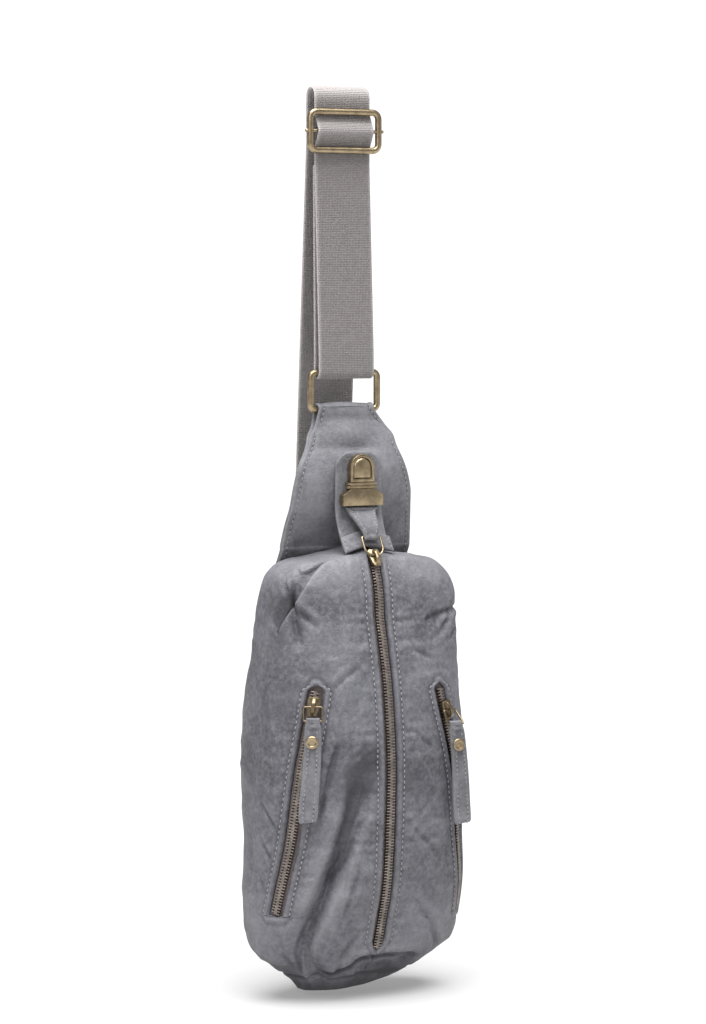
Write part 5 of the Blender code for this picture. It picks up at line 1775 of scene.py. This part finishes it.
def add_stitches(name, frames, pitch, radius, leather, slot):
    """Stitches at frames along their seams, with painted shade at both ends of each: a small dark blob sunk
    where each stitch enters the leather.
    """
    made = copies(name + "_stitches", stitch_pattern(pitch * 0.60, radius), frames)
    finish(made, thread_material("thread", leather.thread), slot)
    # Painted shade: dark blobs stand for the shade where each stitch enters the leather.
    hole_shades = [at @ Matrix.Translation((0.0, pitch * 0.44, -0.00018)) for at in frames]
    made = copies(name + "_stitch_hole_shades", stitch_pattern(radius * 2.2, radius * 0.85), hole_shades)
    finish(made, thread_material("needle hole", toned(leather.thread, 0.16)), slot)


# How high the stitches of the yoke and the patch lie over the middle of their leather
SEWN_IN = LEATHER / 2 - 0.0001


def edge_stitches(grid, inset, ends, height, pitch):
    """Frames of the stitches along both edges of a sheet, between two shares of its length."""
    frames = []
    for side in (0, 1):
        line = []
        for share in spaced(*ends):
            row = grid[int(share * (len(grid) - 1))]
            across = inset / np.linalg.norm(row[-1] - row[0])
            line.append(on_sheet(grid, share, across if side == 0 else 1 - across, height))
        frames += stitch_frames(line, pitch)
    return frames


def make_stitches(scene):
    leather = scene.sling_bag_leather
    pitch = leather.stitch_pitch
    frames = []
    for side in (-1, 1):
        line = []
        for down in spaced(0.04, MAIN_ZIP_FOOT - 0.004, 260):
            angle = front_angle(down, side * (MAIN_SLOT / 2 + ZIP_STITCH_INSET))
            line.append(on_leather(angle, down, 0.00015))
        frames += stitch_frames(line, pitch)
        for way in (-1, 1):
            line = []
            for down in spaced(POCKET_TOP[side][1] - 0.004, POCKET_FOOT[side][1] + 0.004, 160):
                mid = pocket_angle(down, side)
                reach = angle_step(mid, down, pocket_half(down, side) + ZIP_STITCH_INSET * 0.85)
                line.append(on_leather(side * (mid + way * reach), down, 0.00015))
            frames += stitch_frames(line, pitch)
    add_stitches("body", frames, pitch, 0.00046, leather, "body_leather")
    frames = edge_stitches(
        refine(yoke_grid(), 190, spaced(0, 1, 61)), TRIM_STITCH_INSET, (0.02, 0.40, 120), SEWN_IN, pitch)
    patch = refine(lock_patch_grid(), 70, spaced(0, 1, 27))
    frames += edge_stitches(patch, 0.0034, (0.10, 0.97, 70), SEWN_IN, pitch * 0.85)
    top = [on_sheet(patch, 0.075, across, SEWN_IN) for across in spaced(0.12, 0.88, 30)]
    frames += stitch_frames(top, pitch * 0.85)
    for coarse, rows, inset, ends, thick, step in (
        (pull_grid(-1), 110, PULL_STITCH_INSET, (0.30, 0.96, 60), PULL_THICK, 0.80),
        (pull_grid(1), 110, PULL_STITCH_INSET, (0.30, 0.96, 60), PULL_THICK, 0.80),
        (lock_tab_grid(), 40, LOCK_TAB_STITCH_INSET, (0.12, 0.86, 60), LOCK_TAB_THICK, 0.7),
        (end_tab_grid(), 14, 0.0022, (0.15, 0.85, 60), LEATHER, 0.8),
    ):
        grid = refine(coarse, rows, spaced(0, 1, 21))
        frames += edge_stitches(grid, inset, ends, thick / 2 + 0.00012, pitch * step)
    add_stitches("trim", frames, pitch * 0.9, 0.00040, leather, "trim_leather")


# Studio

def aim_at(holder, way):
    holder.rotation_euler = way.to_track_quat("-Z", "Y").to_euler()


def make_stage(scene):
    stage = scene.sling_bag_stage
    start_piece()
    bpy.ops.mesh.primitive_plane_add(size=12.0, location=(0, 1.5, FLOOR))
    floor = bpy.context.object
    floor.name = "floor"
    made, _, shader = new_material("studio floor")
    shader.inputs["Base Color"].default_value = (*stage.floor, 1.0)
    shader.inputs["Roughness"].default_value = 0.85
    shader.inputs["Specular IOR Level"].default_value = 0.2
    shader.inputs["Emission Color"].default_value = (1.0, 1.0, 1.0, 1.0)
    shader.inputs["Emission Strength"].default_value = 0.26
    floor.data.materials.append(made)
    world = bpy.data.worlds.new("studio")
    scene.world = world
    world.use_nodes = True
    tree = world.node_tree
    back = tree.nodes["Background"]
    back.inputs["Color"].default_value = (1.0, 1.0, 1.0, 1.0)
    path = add_node(tree, "ShaderNodeLightPath")
    seen = add_node(tree, "ShaderNodeMapRange", {
        "Value": path.outputs["Is Camera Ray"], "To Min": 0.26, "To Max": 1.15})
    tree.links.new(seen.outputs[0], back.inputs["Strength"])
    scene.view_settings.view_transform = "Standard"
    above = bpy.data.lights.new("above", "SUN")
    above.energy = 6.5
    above.angle = math.radians(60)
    aim_at(link_object("above", above), Vector((0.10, 0.20, -1.0)))
    lights = (
        ("key", (-1.7, -1.3, 0.7), 0.9, 10.0),
        ("fill", (1.9, -1.3, 0.3), 1.5, 3.0),
    )
    for name, place, size, power in lights:
        light = bpy.data.lights.new(name, "AREA")
        light.shape = "DISK"
        light.size = size
        light.energy = power
        holder = link_object(name, light)
        holder.location = place
        aim_at(holder, Vector((0.0, -0.02, -0.40)) - Vector(place))
    turn, rise = stage.turn, stage.rise
    target = Vector((math.cos(turn), math.sin(turn), 0.0)) * 0.010 + Vector((0, 0, -0.280))
    toward = Vector((math.sin(turn) * math.cos(rise), -math.cos(turn) * math.cos(rise), math.sin(rise)))
    lens = bpy.data.cameras.new("studio camera")
    lens.lens = stage.lens
    lens.sensor_width = 36.0
    camera = link_object("studio camera", lens)
    camera.location = target + toward * stage.distance
    aim_at(camera, -toward)
    scene.camera = camera


# Operators

class SLINGBAG_OT_body(bpy.types.Operator):
    """Leather panels of the body, with their folds, creases and zip openings"""

    bl_idname = "sling_bag.body"
    bl_label = "Body leather"

    def execute(self, context):
        make_body(context.scene)
        return {"FINISHED"}


class SLINGBAG_OT_zips(bpy.types.Operator):
    """Tapes and teeth of the three zips"""

    bl_idname = "sling_bag.zips"
    bl_label = "Zips"

    def execute(self, context):
        make_zips(context.scene)
        return {"FINISHED"}


class SLINGBAG_OT_yoke(bpy.types.Operator):
    """Yoke, lock patch and the tab over the zip's end"""

    bl_idname = "sling_bag.yoke"
    bl_label = "Yoke and patch"

    def execute(self, context):
        make_yoke(context.scene)
        return {"FINISHED"}


class SLINGBAG_OT_strap(bpy.types.Operator):
    """Webbing strap through the ring and the buckle"""

    bl_idname = "sling_bag.strap"
    bl_label = "Strap"

    def execute(self, context):
        make_strap(context.scene)
        return {"FINISHED"}


class SLINGBAG_OT_brass(bpy.types.Operator):
    """Rings, buckle, lock, sliders and rivets"""

    bl_idname = "sling_bag.brass"
    bl_label = "Brass"

    def execute(self, context):
        make_rings(context.scene)
        return {"FINISHED"}


class SLINGBAG_OT_stitches(bpy.types.Operator):
    """Rows of stitches along the zips and the trim"""

    bl_idname = "sling_bag.stitches"
    bl_label = "Stitches"

    def execute(self, context):
        make_stitches(context.scene)
        return {"FINISHED"}


class SLINGBAG_OT_stage(bpy.types.Operator):
    """Pale floor, studio lights and the camera"""

    bl_idname = "sling_bag.stage"
    bl_label = "Studio"

    def execute(self, context):
        make_stage(context.scene)
        return {"FINISHED"}


OPERATORS = (SLINGBAG_OT_body, SLINGBAG_OT_zips, SLINGBAG_OT_yoke, SLINGBAG_OT_strap, SLINGBAG_OT_brass,
             SLINGBAG_OT_stitches, SLINGBAG_OT_stage)
SETTINGS = (
    ("sling_bag_leather", SlingBagLeather),
    ("sling_bag_metal", SlingBagMetal),
    ("sling_bag_cloth", SlingBagCloth),
    ("sling_bag_stage", SlingBagStage),
)


class SLINGBAG_PT_panel(bpy.types.Panel):
    """Lists the bag's settings and pieces"""

    bl_idname = "SLINGBAG_PT_panel"
    bl_label = "Sling bag"
    bl_space_type = "VIEW_3D"
    bl_region_type = "UI"
    bl_category = "Sling bag"

    def draw(self, context):
        for name, settings in SETTINGS:
            box = self.layout.box()
            for label in settings.__annotations__:
                box.prop(getattr(context.scene, name), label)
        for operator in OPERATORS:
            self.layout.operator(operator.bl_idname)


def register():
    for name, settings in SETTINGS:
        bpy.utils.register_class(settings)
        setattr(bpy.types.Scene, name, bpy.props.PointerProperty(type=settings))
    for operator in OPERATORS:
        bpy.utils.register_class(operator)
    bpy.utils.register_class(SLINGBAG_PT_panel)


def unregister():
    bpy.utils.unregister_class(SLINGBAG_PT_panel)
    for operator in reversed(OPERATORS):
        bpy.utils.unregister_class(operator)
    for name, settings in reversed(SETTINGS):
        delattr(bpy.types.Scene, name)
        bpy.utils.unregister_class(settings)


def main():
    register()
    bpy.ops.sling_bag.body()
    bpy.ops.sling_bag.zips()
    bpy.ops.sling_bag.yoke()
    bpy.ops.sling_bag.strap()
    bpy.ops.sling_bag.brass()
    bpy.ops.sling_bag.stitches()
    bpy.ops.sling_bag.stage()
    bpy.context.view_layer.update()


if __name__ == "__main__":
    main()
